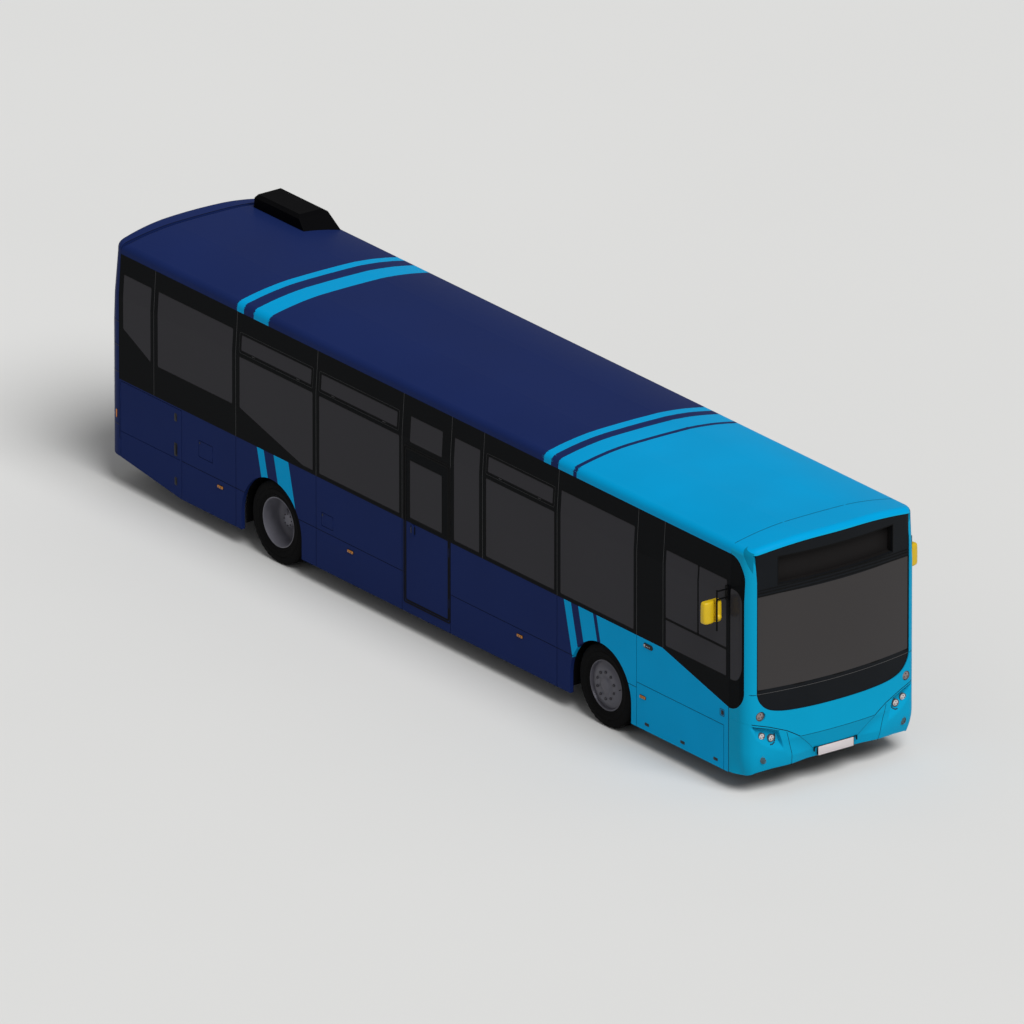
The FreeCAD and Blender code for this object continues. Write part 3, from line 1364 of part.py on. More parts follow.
def mirror_head():
    """Yellow housing behind the tube with a clamp near its foot."""
    x0, x1 = MIRROR_X - 70, MIRROR_X + 12
    housing = prism_z([(x0, MIRROR_OUT - 95), (x1 - 22, MIRROR_OUT - 105), (x1, MIRROR_OUT - 40),
                       (x1, MIRROR_OUT + 110), (x1 - 26, MIRROR_OUT + 165), (x0, MIRROR_OUT + 165)],
                      2085, 2420)
    housing = housing.makeChamfer(14, [e for e in housing.Edges if e.BoundBox.ZLength < 0.1])
    clamp = cylinder(32, 34, Vector(x1 - 8, MIRROR_OUT, 2150), Vector(1, 0, 0))
    head = fuse([housing, clamp])
    return head.cut(cylinder(ARM_TUBE + 1 + FIT, 600, Vector(MIRROR_X + 30, MIRROR_OUT, 2050),
                             Vector(0, 0, 1)))


def flap(place):
    middle = (place[2] + place[3]) / 2
    hinge = upright_hinge(place[1] + FLAP_GAP / 2, -1, (middle,), 80.0)
    return fuse([MIDDLE_SHELL.common(flap_region(place, 0.0, FLAP_THICKNESS))] + hinge)


def engine_side_door():
    door = MIDDLE_SHELL.common(engine_door_region(0.0)).cut(UNDERSIDE)
    door = door.cut([seam_z(SKIRT_CREASE, TAIL_SEAM, ENGINE_DOOR_FRONT - 20, -1)])
    return fuse([door] + upright_hinge(ENGINE_DOOR_REAR - DOOR_GAP / 2, 1, (560.0, 1180.0)))


def door_arm(pivot, toward):
    """Arm over a leaf, from its post under the header to the pin at the leaf's middle."""
    low = LEAF_TOP + ARM_GAP
    start = Vector(at(pivot), LEAF_LINE, low)
    middle = Vector(at(pivot + toward * LEAF_REACH / 2), LEAF_LINE, low)
    x0, x1 = sorted((start.x, middle.x))
    beam = box(x0, x1, LEAF_LINE - 14, LEAF_LINE + 14, low, low + ARM_THICKNESS)
    up = Vector(0, 0, 1)
    post = cylinder(POST_RADIUS, DOORWAY_TOP - FIT - low, start, up)
    end = cylinder(POST_RADIUS, ARM_THICKNESS, middle, up)
    pin = cylinder(PIN_RADIUS, ARM_GAP - FIT + 1, Vector(middle.x, middle.y, LEAF_TOP + FIT), up)
    return fuse([beam, post, end, pin])


def main():
    right_doors = [emergency_region(DOOR_GAP), engine_door_region(DOOR_GAP)]
    flaps = [flap_region(FUEL_FLAP, FLAP_GAP, 400), flap_region(SERVICE_FLAP, FLAP_GAP, 400)]
    export("window_frame_right", [window_frame(RIGHT_HALF, windows_right(), -1, right_doors[:1])])
    export("window_frame_left", [window_frame_left()])
    export("side_panels_right", [side_panels(RIGHT_HALF, -1, right_doors + flaps)])
    export("side_panels_left", [side_panels_left()])
    export("roof_shell", [roof_shell()])
    export("roof_pod", [roof_pod()])
    glass = panes(windows_right(), -1) + panes(windows_left(), 1) + [rear_window()]
    glass += [shape.common(MIDDLE_PANES) for shape in quarter_region(FIT)]
    export("window_glass", glass)
    export("front_mask", [front_mask()])
    export("windscreen_surround", [windscreen_surround()])
    export("windscreen", [windscreen()])
    export("destination_sign", [destination_sign()])
    export("front_bumper", [front_bumper()])
    export("front_lamps", front_lamps())
    export("rear_mask", [rear_mask()])
    export("rear_bumper", [rear_bumper()])
    export("rear_lamps", rear_lamps())
    export("wheel_boxes", wheel_boxes())
    export("floor_deck", [floor_deck()])
    export("chassis_frame", chassis_frame())
    export("engine_block", [engine_block()])
    export("axles", [front_beam(), rear_casing()])
    export("suspension_units", suspension_units())
    export("underfloor_tanks", underfloor_tanks())
    export("seats", seats())
    export("driver_cab", [driver_cab()])
    export("handrails", handrails())
    export("mirror_arms", both_sides(mirror_arm()))
    export("mirror_heads", both_sides(mirror_head()))
    for sign, side in ((1, "left"), (-1, "right")):
        export("knuckle_" + side, [knuckle(sign)])
        export("front_tyre_" + side, [tyre(FRONT_AXLE, sign * WHEEL_CENTRE)])
        export("front_rim_" + side, [front_rim(sign)])
        twins = [tyre(REAR_AXLE, sign * y) for y in (WHEEL_CENTRE, WHEEL_CENTRE - TWIN_SPACING)]
        export("rear_tyres_" + side, twins)
        export("rear_rims_" + side, [rear_rims(sign)])
    export("emergency_door", [emergency_door()])
    export("emergency_door_glass", [emergency_glass()])
    for name, ends, pivot, toward in (("front", leaf_front(), PIVOT_FRONT, -1),
                                      ("rear", leaf_rear(), PIVOT_REAR, 1)):
        export("door_arm_" + name, [door_arm(pivot, toward)])
        export("door_leaf_" + name, [passenger_leaf(*ends)])
        export("door_glass_" + name, [passenger_pane(*ends)])
    export("engine_hatch", [engine_hatch()])
    export("engine_side_door", [engine_side_door()])
    export("fuel_flap", [flap(FUEL_FLAP)])
    export("service_flap", [flap(SERVICE_FLAP)])


main()
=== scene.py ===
"""Finishes, trim and studio of a low-floor city bus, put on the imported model's own frame.

Lengths are in metres and the frame is the model's: +X forward, +Y to the kerb side, +Z up.
"""

import math

import bmesh
import bpy
from bpy.props import FloatProperty, FloatVectorProperty, PointerProperty
from mathutils import Matrix, Vector


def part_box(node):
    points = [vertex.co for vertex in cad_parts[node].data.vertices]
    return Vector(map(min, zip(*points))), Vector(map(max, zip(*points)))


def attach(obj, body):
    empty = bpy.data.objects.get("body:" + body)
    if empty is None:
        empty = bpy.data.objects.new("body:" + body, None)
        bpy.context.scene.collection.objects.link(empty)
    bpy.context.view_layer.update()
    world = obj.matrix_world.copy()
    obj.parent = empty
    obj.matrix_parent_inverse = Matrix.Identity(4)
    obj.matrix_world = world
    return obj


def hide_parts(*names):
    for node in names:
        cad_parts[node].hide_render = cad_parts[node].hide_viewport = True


bl_info = {
    "name": "City bus dressing",
    "version": (1, 0, 0),
    "blender": (4, 5, 0),
    "location": "3D View > Sidebar > City bus",
    "description": "Finishes, trim and studio for a low-floor city bus",
    "category": "Object",
}

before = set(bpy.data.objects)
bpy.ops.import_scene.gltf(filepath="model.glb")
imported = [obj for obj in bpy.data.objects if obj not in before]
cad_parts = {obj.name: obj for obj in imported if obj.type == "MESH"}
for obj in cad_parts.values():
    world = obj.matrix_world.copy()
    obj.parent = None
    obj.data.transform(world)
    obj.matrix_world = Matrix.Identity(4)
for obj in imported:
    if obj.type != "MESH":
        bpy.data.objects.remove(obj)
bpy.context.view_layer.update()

# Places read from the frame
TYRE_LOW, TYRE_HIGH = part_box("front_tyre_right")
REAR_LOW, REAR_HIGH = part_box("rear_tyres_right")
FRONT_AXLE = (TYRE_LOW.x + TYRE_HIGH.x) / 2
REAR_AXLE = (REAR_LOW.x + REAR_HIGH.x) / 2
TYRE_RADIUS = (TYRE_HIGH.z - TYRE_LOW.z) / 2
TYRE_WIDTH = TYRE_HIGH.y - TYRE_LOW.y
WHEEL_FACE = -TYRE_LOW.y
TWIN_SPACING = REAR_HIGH.y - REAR_LOW.y - TYRE_WIDTH
HALF_WIDTH = -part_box("side_panels_right")[0].y
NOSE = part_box("front_mask")[1].x
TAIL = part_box("rear_mask")[0].x
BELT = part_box("side_panels_right")[1].z
BAND_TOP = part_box("window_frame_right")[1].z
ROOF_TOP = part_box("roof_shell")[1].z
SKIRT_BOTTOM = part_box("side_panels_right")[0].z
TAIL_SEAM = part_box("side_panels_right")[0].x
CAB_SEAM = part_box("side_panels_right")[1].x

# Shape of the body's outer skin
LEAN_START = 2.450
SIDE_LEAN = 0.034 / 0.528
NOSE_RADIUS = 5.170
TAIL_RADIUS = 6.500
TAIL_LEAN_START = 2.100
TAIL_LEAN = 0.145 / 1.250
CROWN_FLAT = 0.450
CROWN_FLAT_RADIUS = 20.2525
CROWN_SHOULDER = (0.2514, 4.2109, 4.2106)
SKIRT_CREASE = 0.727
CAB_CREASE = 0.797

# Panel joints, forward of the front axle
BAY_JOINTS = (-7.220, -5.625, -3.923, -2.971, -0.881, 0.669)
BAND_JOINTS = (-8.855, -2.341, 1.180)

# Livery: cyan ranges along the belt, forward of the front axle
CYAN_RANGES = ((-6.801, -6.665), (-6.469, -6.176), (-0.750, -0.610), (-0.471, -0.180), (-0.114, 20.0))
STRIPE_SLOPE_LOW = 0.250
STRIPE_SLOPE_HIGH = 0.272


def at(x):
    """Station that lies x forward of the front axle."""
    return FRONT_AXLE + x


def side_y(z):
    return HALF_WIDTH - max(0.0, z - LEAN_START) * SIDE_LEAN


def nose_x(y):
    return NOSE - NOSE_RADIUS + math.sqrt(NOSE_RADIUS**2 - y * y)


def tail_x(y, z):
    lean = max(0.0, z - TAIL_LEAN_START) * TAIL_LEAN
    return TAIL + lean + TAIL_RADIUS - math.sqrt(TAIL_RADIUS**2 - y * y)


def crown_z(y):
    """Height of the roof's crown at a width: a flat arc, and a rounder one over each shoulder."""
    if abs(y) <= CROWN_FLAT:
        return ROOF_TOP - CROWN_FLAT_RADIUS + math.sqrt(CROWN_FLAT_RADIUS**2 - y * y)
    middle, drop, radius = CROWN_SHOULDER
    return ROOF_TOP - drop + math.sqrt(radius**2 - (abs(y) - middle)**2)


# Places on a skin: along it, up it, and out of it
def on_right(u, v, out):
    return Vector((u, -side_y(v) - out, v))


def on_left(u, v, out):
    return Vector((u, side_y(v) + out, v))


def on_tail(u, v, out):
    return Vector((tail_x(u, v) - out, u, v))


class Form:
    """Points and faces of one piece while it is put together."""

    def __init__(self):
        self.points = []
        self.faces = []
        self.finish_of = []

    def add(self, points, faces, finish=0):
        start = len(self.points)
        self.points.extend(points)
        self.faces.extend(tuple(start + index for index in face) for face in faces)
        self.finish_of.extend([finish] * len(faces))

    def loft(self, rows, finish=0, ends=True):
        """Skin over rows of points, each a closed ring, with its two ends filled."""
        count = len(rows[0])
        points = [point for row in rows for point in row]
        faces = []
        for level in range(len(rows) - 1):
            for step in range(count):
                a = level * count + step
                b = level * count + (step + 1) % count
                faces.append((a, b, b + count, a + count))
        if ends:
            last = (len(rows) - 1) * count
            faces.append(tuple(reversed(range(count))))
            faces.append(tuple(range(last, last + count)))
        self.add(points, faces, finish)

    def torus_loft(self, rows, finish=0):
        """Skin over rings that close on themselves in both directions."""
        count = len(rows[0])
        points = [point for row in rows for point in row]
        faces = []
        for level in range(len(rows)):
            after = (level + 1) % len(rows)
            for step in range(count):
                b = (step + 1) % count
                faces.append((level * count + step, level * count + b, after * count + b,
                              after * count + step))
        self.add(points, faces, finish)

    def piece(self, name, body, finishes, smooth_angle=35.0):
        """The finished piece, riding on its body."""
        mesh = bpy.data.meshes.new(name)
        mesh.from_pydata([tuple(point) for point in self.points], [], self.faces)
        for finish in finishes:
            mesh.materials.append(finish)
        mesh.polygons.foreach_set("material_index", self.finish_of)
        build = bmesh.new()
        build.from_mesh(mesh)
        bmesh.ops.recalc_face_normals(build, faces=build.faces)
        build.to_mesh(mesh)
        build.free()
        mesh.polygons.foreach_set("use_smooth", [True] * len(mesh.polygons))
        mesh.set_sharp_from_angle(angle=math.radians(smooth_angle))
        thing = bpy.data.objects.new(name, mesh)
        bpy.context.scene.collection.objects.link(thing)
        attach(thing, body)
        return thing


# Outlines, as flat loops of (u, v)
def rounded(points, radius, grow=0.0, steps=4):
    """Loop through points with round corners, moved outward by grow."""
    loop = []
    count = len(points)
    middle = sum((Vector(p) for p in points), Vector((0, 0))) / count
    for index in range(count):
        corner = Vector(points[index])
        back = (Vector(points[index - 1]) - corner).normalized()
        ahead = (Vector(points[(index + 1) % count]) - corner).normalized()
        half = back.angle(ahead) / 2
        bisector = (back + ahead).normalized()
        if bisector.dot(middle - corner) < 0:
            bisector = -bisector
        moved = corner - bisector * (grow / math.sin(half))
        bend = max(radius + grow, 0.0005)
        centre = moved + bisector * (bend / math.sin(half))
        first = moved + back * (bend / math.tan(half)) - centre
        last = moved + ahead * (bend / math.tan(half)) - centre
        turn = first.angle_signed(last)
        for step in range(steps + 1):
            spin = Matrix.Rotation(-turn * step / steps, 2)
            loop.append(centre + spin @ first)
    return loop


def rectangle(u0, u1, v0, v1):
    return [(u0, v0), (u1, v0), (u1, v1), (u0, v1)]


def circle(radius, steps=32):
    return [(radius * math.cos(2 * math.pi * i / steps), radius * math.sin(2 * math.pi * i / steps))
            for i in range(steps)]


# Solids made from outlines on a skin
def plate(form, points, radius, place, low, high, edge=0.0015, finish=0, steps=4):
    """Flat piece on a skin, from depth low to height high, with a softened edge."""
    rows = []
    for out, inset in ((low, 0.0), (high - edge, 0.0), (high - edge * 0.3, edge * 0.3), (high, edge)):
        rows.append([place(u, v, out) for u, v in rounded(points, radius, -inset, steps)])
    form.loft(rows, finish)


def band_around(form, points, radius, width, place, low, high, edge=0.002, finish=0, steps=4):
    """Closed strip that follows an outline, width wide and outside it."""
    section = ((0.0, low), (0.0, high - edge), (edge, high), (width - edge, high), (width, high - edge),
               (width, low))
    rows = [[place(u, v, out) for u, v in rounded(points, radius, grow, steps)] for grow, out in section]
    form.torus_loft(rows, finish)


def strip(form, path, width, place, low, high, finish=0, divide=0.25):
    """Open strip along straight runs of (u, v), laid on a skin."""
    for start, end in zip(path, path[1:]):
        a, b = Vector(start), Vector(end)
        run = b - a
        side = Vector((-run.y, run.x)).normalized() * width / 2
        count = max(1, math.ceil(run.length / divide))
        rows = []
        for step in range(count + 1):
            p = a + run * step / count
            left, right = p - side, p + side
            rows.append([place(left.x, left.y, low), place(left.x, left.y, high),
                         place(right.x, right.y, high), place(right.x, right.y, low)])
        form.loft(rows, finish)


def lathe(form, profile, centre, axis, steps=40, finish=0):
    """Turned piece: profile is (distance along the axis, radius)."""
    direction = Vector(axis).normalized()
    turn = direction.to_track_quat("Z", "Y").to_matrix()
    rows = []
    for along, radius in profile:
        ring = [Vector((x, y, along)) for x, y in circle(max(radius, 0.0001), steps)]
        rows.append([Vector(centre) + turn @ point for point in ring])
    form.loft(rows, finish)


def moved(profile, by, scale=1.0):
    """Turned profile moved along its axis, with its radii scaled."""
    return [(by + along, radius * scale) for along, radius in profile]


def tube(form, path, radius, steps=12, finish=0):
    """Round bar along a path of points."""
    points = [Vector(p) for p in path]
    rows = []
    normal = None
    for index, point in enumerate(points):
        before = points[max(index - 1, 0)]
        after = points[min(index + 1, len(points) - 1)]
        along = (after - before).normalized()
        if normal is None:
            normal = along.orthogonal().normalized()
        normal = (normal - along * normal.dot(along)).normalized()
        other = along.cross(normal)
        rows.append([point + normal * (radius * c) + other * (radius * s) for c, s in circle(1.0, steps)])
    form.loft(rows, finish)


# Finishes
class Finish:
    """A node material, put together from sockets and numbers."""

    def __init__(self, name):
        self.material = bpy.data.materials.new(name)
        self.material.use_nodes = True
        self.tree = self.material.node_tree
        self.tree.nodes.clear()
        self.shader = self.node("ShaderNodeBsdfPrincipled")
        output = self.node("ShaderNodeOutputMaterial")
        self.tree.links.new(self.shader.outputs[0], output.inputs[0])
        self.place = self.node("ShaderNodeTexCoord").outputs["Object"]

    def node(self, kind, **settings):
        made = self.tree.nodes.new(kind)
        for key, value in settings.items():
            setattr(made, key, value)
        return made

    def put(self, socket, value):
        if isinstance(value, bpy.types.NodeSocket):
            self.tree.links.new(value, socket)
        else:
            socket.default_value = value

    def sum(self, operation, *values):
        made = self.node("ShaderNodeMath", operation=operation)
        for socket, value in zip(made.inputs, values):
            self.put(socket, value)
        return made.outputs[0]

    def axes(self):
        """The x, y and z of a point on the piece."""
        split = self.node("ShaderNodeSeparateXYZ")
        self.put(split.inputs[0], self.place)
        return split.outputs

    def noise(self, scale, detail=2.0, stretch=None):
        made = self.node("ShaderNodeTexNoise")
        place = self.place
        if stretch:
            mapping = self.node("ShaderNodeMapping")
            self.put(mapping.inputs[0], place)
            mapping.inputs["Scale"].default_value = stretch
            place = mapping.outputs[0]
        self.put(made.inputs["Vector"], place)
        made.inputs["Scale"].default_value = scale
        made.inputs["Detail"].default_value = detail
        return made.outputs["Fac"]

    def blend(self, share, first, second):
        made = self.node("ShaderNodeMix", data_type="RGBA")
        self.put(made.inputs[0], share)
        self.put(made.inputs[6], first)
        self.put(made.inputs[7], second)
        return made.outputs[2]

    def between(self, value, low, high, low_out, high_out):
        made = self.node("ShaderNodeMapRange")
        for socket, number in zip(made.inputs, (value, low, high, low_out, high_out)):
            self.put(socket, number)
        return made.outputs[0]

    def set(self, **inputs):
        names = {"colour": "Base Color", "rough": "Roughness", "metal": "Metallic",
                 "gloss": "Specular IOR Level"}
        for key, value in inputs.items():
            self.put(self.shader.inputs[names[key]], value)

    def grain(self, height, strength, distance):
        """Raised grain on the surface from a height value."""
        bump = self.node("ShaderNodeBump")
        bump.inputs["Strength"].default_value = strength
        bump.inputs["Distance"].default_value = distance
        self.put(bump.inputs["Height"], height)
        self.put(self.shader.inputs["Normal"], bump.outputs[0])


def solid(colour):
    return (*colour, 1.0)


def shade(colour, by):
    return tuple(min(1.0, part * by) for part in colour)


def mottled(name, colour, rough, gloss=0.25, metal=0.0, spread=0.15, patch=3.0, grain=600.0, raised=0.1,
            depth=0.0004):
    """Coat or moulding with slow changes of shade and a fine surface grain."""
    made = Finish(name)
    patches = made.noise(patch, 3.0)
    tone = made.blend(patches, solid(shade(colour, 1 - spread)), solid(shade(colour, 1 + spread)))
    made.set(colour=tone, rough=made.between(patches, 0.0, 1.0, rough * 0.88, rough * 1.12), gloss=gloss,
             metal=metal)
    made.grain(made.noise(grain, 2.0), raised, depth)
    return made.material


# Behind the middle of the bus the stripes end at this height
REAR_STRIPE_FOOT = 0.62
MID_BUS = at(-4.0)


def livery_share(made):
    """1 where the coat is cyan: bands that lean along the side and run straight over the roof."""
    x, _, z = made.axes()
    below = made.sum("MAXIMUM", made.sum("SUBTRACT", BELT, z), 0.0)
    above = made.sum("MINIMUM", made.sum("MAXIMUM", made.sum("SUBTRACT", z, BELT), 0.0), BAND_TOP - BELT)
    along = made.sum("SUBTRACT", x, FRONT_AXLE)
    along = made.sum("SUBTRACT", along, made.sum("MULTIPLY", below, STRIPE_SLOPE_LOW))
    along = made.sum("ADD", along, made.sum("MULTIPLY", above, STRIPE_SLOPE_HIGH))
    share = None
    for start, end in CYAN_RANGES:
        inside = made.sum("SUBTRACT", made.sum("GREATER_THAN", along, start),
                          made.sum("GREATER_THAN", along, end))
        share = inside if share is None else made.sum("ADD", share, inside)
    clear = made.sum("MAXIMUM", made.sum("GREATER_THAN", z, REAR_STRIPE_FOOT),
                     made.sum("GREATER_THAN", x, MID_BUS))
    return made.sum("MULTIPLY", share, clear)


# Black zone round the front corner: how far it runs ahead of the seam, and where its ends curve in
CORNER_REACH = 0.275
CORNER_HIGH = 2.690
CORNER_LOW = 1.300
CORNER_DROP = 0.250
CORNER_SIDE = 1.0


def corner_share(made):
    """1 in the black zone round the front corner, whose ends are rounded off."""
    x, y, z = made.axes()
    reach = made.sum("DIVIDE", made.sum("MAXIMUM", made.sum("SUBTRACT", x, CAB_SEAM), 0.0), CORNER_REACH)
    high = made.sum("DIVIDE", made.sum("MAXIMUM", made.sum("SUBTRACT", z, CORNER_HIGH), 0.0),
                    BAND_TOP - CORNER_HIGH)
    low = made.sum("DIVIDE", made.sum("MAXIMUM", made.sum("SUBTRACT", CORNER_LOW, z), 0.0), CORNER_DROP)
    total = 0.0
    for part in (reach, high, low):
        total = made.sum("ADD", made.sum("POWER", part, 2.0), total)
    outside = made.sum("GREATER_THAN", made.sum("ABSOLUTE", y), CORNER_SIDE)
    return made.sum("MULTIPLY", made.sum("LESS_THAN", total, 1.0), outside)


def coat(made, tone, paint):
    """Gloss coat over a colour: faint shade drift and the ripple of sprayed paint."""
    patches = made.noise(0.9, 2.0)
    darker = made.node("ShaderNodeHueSaturation")
    made.put(darker.inputs["Color"], tone)
    made.put(darker.inputs["Value"], made.between(patches, 0.3, 0.7, 0.96, 1.04))
    made.set(colour=darker.outputs[0], rough=made.between(patches, 0.3, 0.7, 0.33, 0.40), gloss=paint.gloss)
    made.grain(made.noise(90.0, 2.0), 0.03, 0.0006)
    return made.material


def livery(paint):
    made = Finish("navy_cyan_livery")
    tone = made.blend(livery_share(made), solid(paint.navy), solid(paint.cyan))
    return coat(made, tone, paint)


def door_coat(paint):
    """The emergency door: body colour below the belt, black round its glass."""
    made = Finish("navy_door_coat")
    z = made.axes()[2]
    tone = made.blend(made.sum("GREATER_THAN", z, BELT), solid(paint.navy), solid(shade(paint.band, 1.3)))
    return coat(made, tone, paint)


# Brow lip over the sign, lightened as a painted highlight, and the scoops beside it, darkened as painted
# shade
BROW_ARCH = 0.0735
BROW_LOW = 3.134
BROW_TOP = 3.156
SCOOP_REAR = CAB_SEAM + 0.195
SCOOP_FRONT = CAB_SEAM + 0.345
SCOOP_LOW = 2.820
SCOOP_HIGH = 3.110
SCOOP_SLOPE = 0.045
SCOOP_PAINTED_SHADE = 0.62
LIP_PAINTED_HIGHLIGHT = 1.12


def front_coat(paint):
    """Coat of the nose: the roof's cyan above a brow lip lightened as a painted highlight, the nose's darker
    and greener cyan as painted shade below, scoops darkened as painted shade, black round the corners.
    """
    made = Finish("cyan_front_coat_painted_light")
    x, y, z = made.axes()
    rise = made.sum("ADD", z, made.sum("MULTIPLY", made.sum("MULTIPLY", y, y), BROW_ARCH))
    # Painted highlight: a lighter band of the nose's cyan along the brow lip
    tone = made.blend(made.between(rise, BROW_TOP - 0.002, BROW_TOP + 0.004, 0.0, 1.0),
                      solid(shade(paint.front, LIP_PAINTED_HIGHLIGHT)), solid(paint.cyan))
    tone = made.blend(made.sum("LESS_THAN", rise, BROW_LOW), tone, solid(paint.front))
    # Painted shade: a darker triangle of the nose's cyan in each scoop under the brow's ends
    edge = made.between(z, SCOOP_LOW, SCOOP_HIGH, SCOOP_FRONT, SCOOP_REAR)
    lid = made.between(x, SCOOP_REAR, SCOOP_FRONT, SCOOP_HIGH, SCOOP_HIGH - SCOOP_SLOPE)
    inside = made.sum("GREATER_THAN", x, edge)
    for limit in (made.sum("LESS_THAN", z, lid), made.sum("LESS_THAN", x, SCOOP_FRONT),
                  made.sum("GREATER_THAN", made.sum("ABSOLUTE", y), CORNER_SIDE)):
        inside = made.sum("MULTIPLY", inside, limit)
    tone = made.blend(inside, tone, solid(shade(paint.front, SCOOP_PAINTED_SHADE)))
    tone = made.blend(corner_share(made), tone, solid(paint.band))
    return coat(made, tone, paint)


def plain_coat(name, colour, paint):
    return coat(Finish(name), solid(colour), paint)


def tinted_glass(name, colour, paint):
    """Dark safety glass: a deep tint with soft waviness from rolling."""
    made = Finish(name)
    drift = made.noise(0.5, 1.0)
    tone = made.blend(drift, solid(shade(colour, 0.92)), solid(shade(colour, 1.08)))
    made.set(colour=tone, rough=0.12, gloss=paint.glass_gloss)
    made.grain(made.noise(2.5, 1.0), 0.02, 0.01)
    return made.material


def rubber(name="black_rubber", colour=(0.006, 0.006, 0.006)):
    return mottled(name, colour, 0.7, gloss=0.06, grain=900.0, raised=0.15)


# Sizes and colours that a user would change
def colour_of(name, description, default):
    return FloatVectorProperty(name=name, description=description, subtype="COLOR", size=3, min=0, max=1,
                               default=default)


class BusPaint(bpy.types.PropertyGroup):
    navy: colour_of("Navy", "Coat of the body", (0.0100, 0.0205, 0.094))
    cyan: colour_of("Cyan", "Coat of the stripes and the roof's front", (0.001, 0.305, 0.610))
    # The nose's cyan is the roof's cyan made darker and greener: painted shade for the light that falls on
    # the front
    front: colour_of("Front cyan", "Coat of the nose", (0.003, 0.295, 0.510))
    band: colour_of("Band", "Glazing band round the windows", (0.0035, 0.0040, 0.0048))
    glass: colour_of("Side glass", "Tint of the side windows", (0.030, 0.029, 0.034))
    screen: colour_of("Windscreen", "Tint of the windscreen", (0.042, 0.039, 0.039))
    plate: colour_of("Plate", "Blank number plates", (0.58, 0.53, 0.54))
    mirror: colour_of("Mirrors", "Mirror housings", (0.60, 0.40, 0.008))
    gloss: FloatProperty(name="Coat gloss", description="Strength of the coat's reflections", min=0, max=1,
                         subtype="FACTOR", default=0.015)
    glass_gloss: FloatProperty(name="Glass gloss", description="Strength of the glass's reflections", min=0,
                               max=1, subtype="FACTOR", default=0.05)


class BusStage(bpy.types.PropertyGroup):
    floor: colour_of("Floor", "Colour of the studio floor", (0.72, 0.72, 0.71))
    key: FloatProperty(name="Key light", description="Strength of the soft light from above and ahead", min=0,
                       max=20, default=2.85)
    sky: FloatProperty(name="Sky", description="Strength of the light from all round", min=0, max=5,
                       default=0.30)
    width: FloatProperty(name="View width", description="Width that the camera sees at the bus",
                         unit="LENGTH", min=1, default=12.104)
    lens: FloatProperty(name="Lens", description="Focal length of the camera", subtype="DISTANCE_CAMERA",
                        min=10, default=1400.0)


def dress(finish, *nodes):
    """Give CAD pieces a finish in place of their own."""
    for node in nodes:
        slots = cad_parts[node].data.materials
        if not len(slots):
            slots.append(finish)
        for index in range(len(slots)):
            slots[index] = finish


class BUS_OT_paint_body(bpy.types.Operator):
    """Coat the panels, the glazing band and the glass"""

    bl_idname = "bus.paint_body"
    bl_label = "Paint body"

    def execute(self, context):
        paint = context.scene.bus_paint
        dress(livery(paint), "side_panels_right", "side_panels_left", "roof_shell",
              "engine_side_door", "fuel_flap", "service_flap")
        dress(plain_coat("navy_coat", paint.navy, paint), "rear_mask", "rear_bumper", "engine_hatch")
        dress(door_coat(paint), "emergency_door")
        dress(front_coat(paint), "front_mask", "front_bumper")
        band = mottled("band_black", paint.band, 0.35, gloss=0.02, spread=0.1, grain=60.0, raised=0.02)
        dress(band, "window_frame_right", "window_frame_left")
        face = mottled("screen_surround_black", shade(paint.band, 2.4), 0.42, gloss=0.04, grain=500.0)
        dress(face, "windscreen_surround")
        dress(tinted_glass("side_glass", paint.glass, paint), "window_glass", "emergency_door_glass",
              "door_glass_front", "door_glass_rear")
        dress(tinted_glass("windscreen_glass", paint.screen, paint), "windscreen")
        return {"FINISHED"}


# Outlines on the sides, forward of the front axle
SILL = 1.440
MAIN_TOP = 2.431
WINDOW_TOP = 2.738
HOPPERS = ((-7.116, -5.729), (-5.534, -4.028), (-2.243, -0.976))
HOPPER_LOW = 2.518
HOPPER_HIGH = 2.710
EMERGENCY = (-3.858, -3.003, 0.382, 2.329)
EMERGENCY_PANE = (-3.769, -3.140, 1.452, 2.180)
ENGINE_DOOR = (-9.520, -8.306, 0.235, 1.365)
DOORWAY = (1.120, 2.380, 0.358, 2.380)
FLAPS = (("service_flap", -7.956, 1.100), ("fuel_flap", -5.513, 0.960))
SHARED_PANES = (
    [(-9.471, 2.054), (-8.920, 1.794), (-8.920, 2.740), (-9.471, 2.740)],
    [(-8.780, 1.783), (-7.289, 1.783), (-7.289, WINDOW_TOP), (-8.780, WINDOW_TOP)],
    [(-5.898, SILL), (-5.690, SILL), (-5.690, MAIN_TOP), (-7.147, MAIN_TOP), (-7.147, 1.780)],
    [(-5.565, SILL), (-3.978, SILL), (-3.978, MAIN_TOP), (-5.565, MAIN_TOP)],
    [(-2.274, SILL), (-0.936, SILL), (-0.936, MAIN_TOP), (-2.274, MAIN_TOP)],
    [(-0.818, SILL), (0.610, SILL), (0.610, WINDOW_TOP), (-0.818, WINDOW_TOP)],
)
RIGHT_PANES = (
    [(-3.769, 2.414), (-3.140, 2.414), (-3.140, WINDOW_TOP), (-3.769, WINDOW_TOP)],
    [(-2.904, SILL), (-2.406, SILL), (-2.406, WINDOW_TOP), (-2.904, WINDOW_TOP)],
    [(1.230, 1.790), (1.845, 1.790), (1.845, 2.640), (1.230, 2.640)],
    [(1.869, 1.790), (2.404, 1.790), (2.404, 2.640), (1.869, 2.640)],
    [(1.230, 1.433), (2.404, 1.433), (2.404, 1.762), (1.230, 1.762)],
)
LEFT_PANES = (
    [(-3.769, SILL), (-2.406, SILL), (-2.406, WINDOW_TOP), (-3.769, WINDOW_TOP)],
)


def placed(points):
    """Outline given forward of the front axle, at its place on the bus."""
    return [(at(x), z) for x, z in points]


def side_box(x0, x1, z0, z1):
    return placed(rectangle(x0, x1, z0, z1))


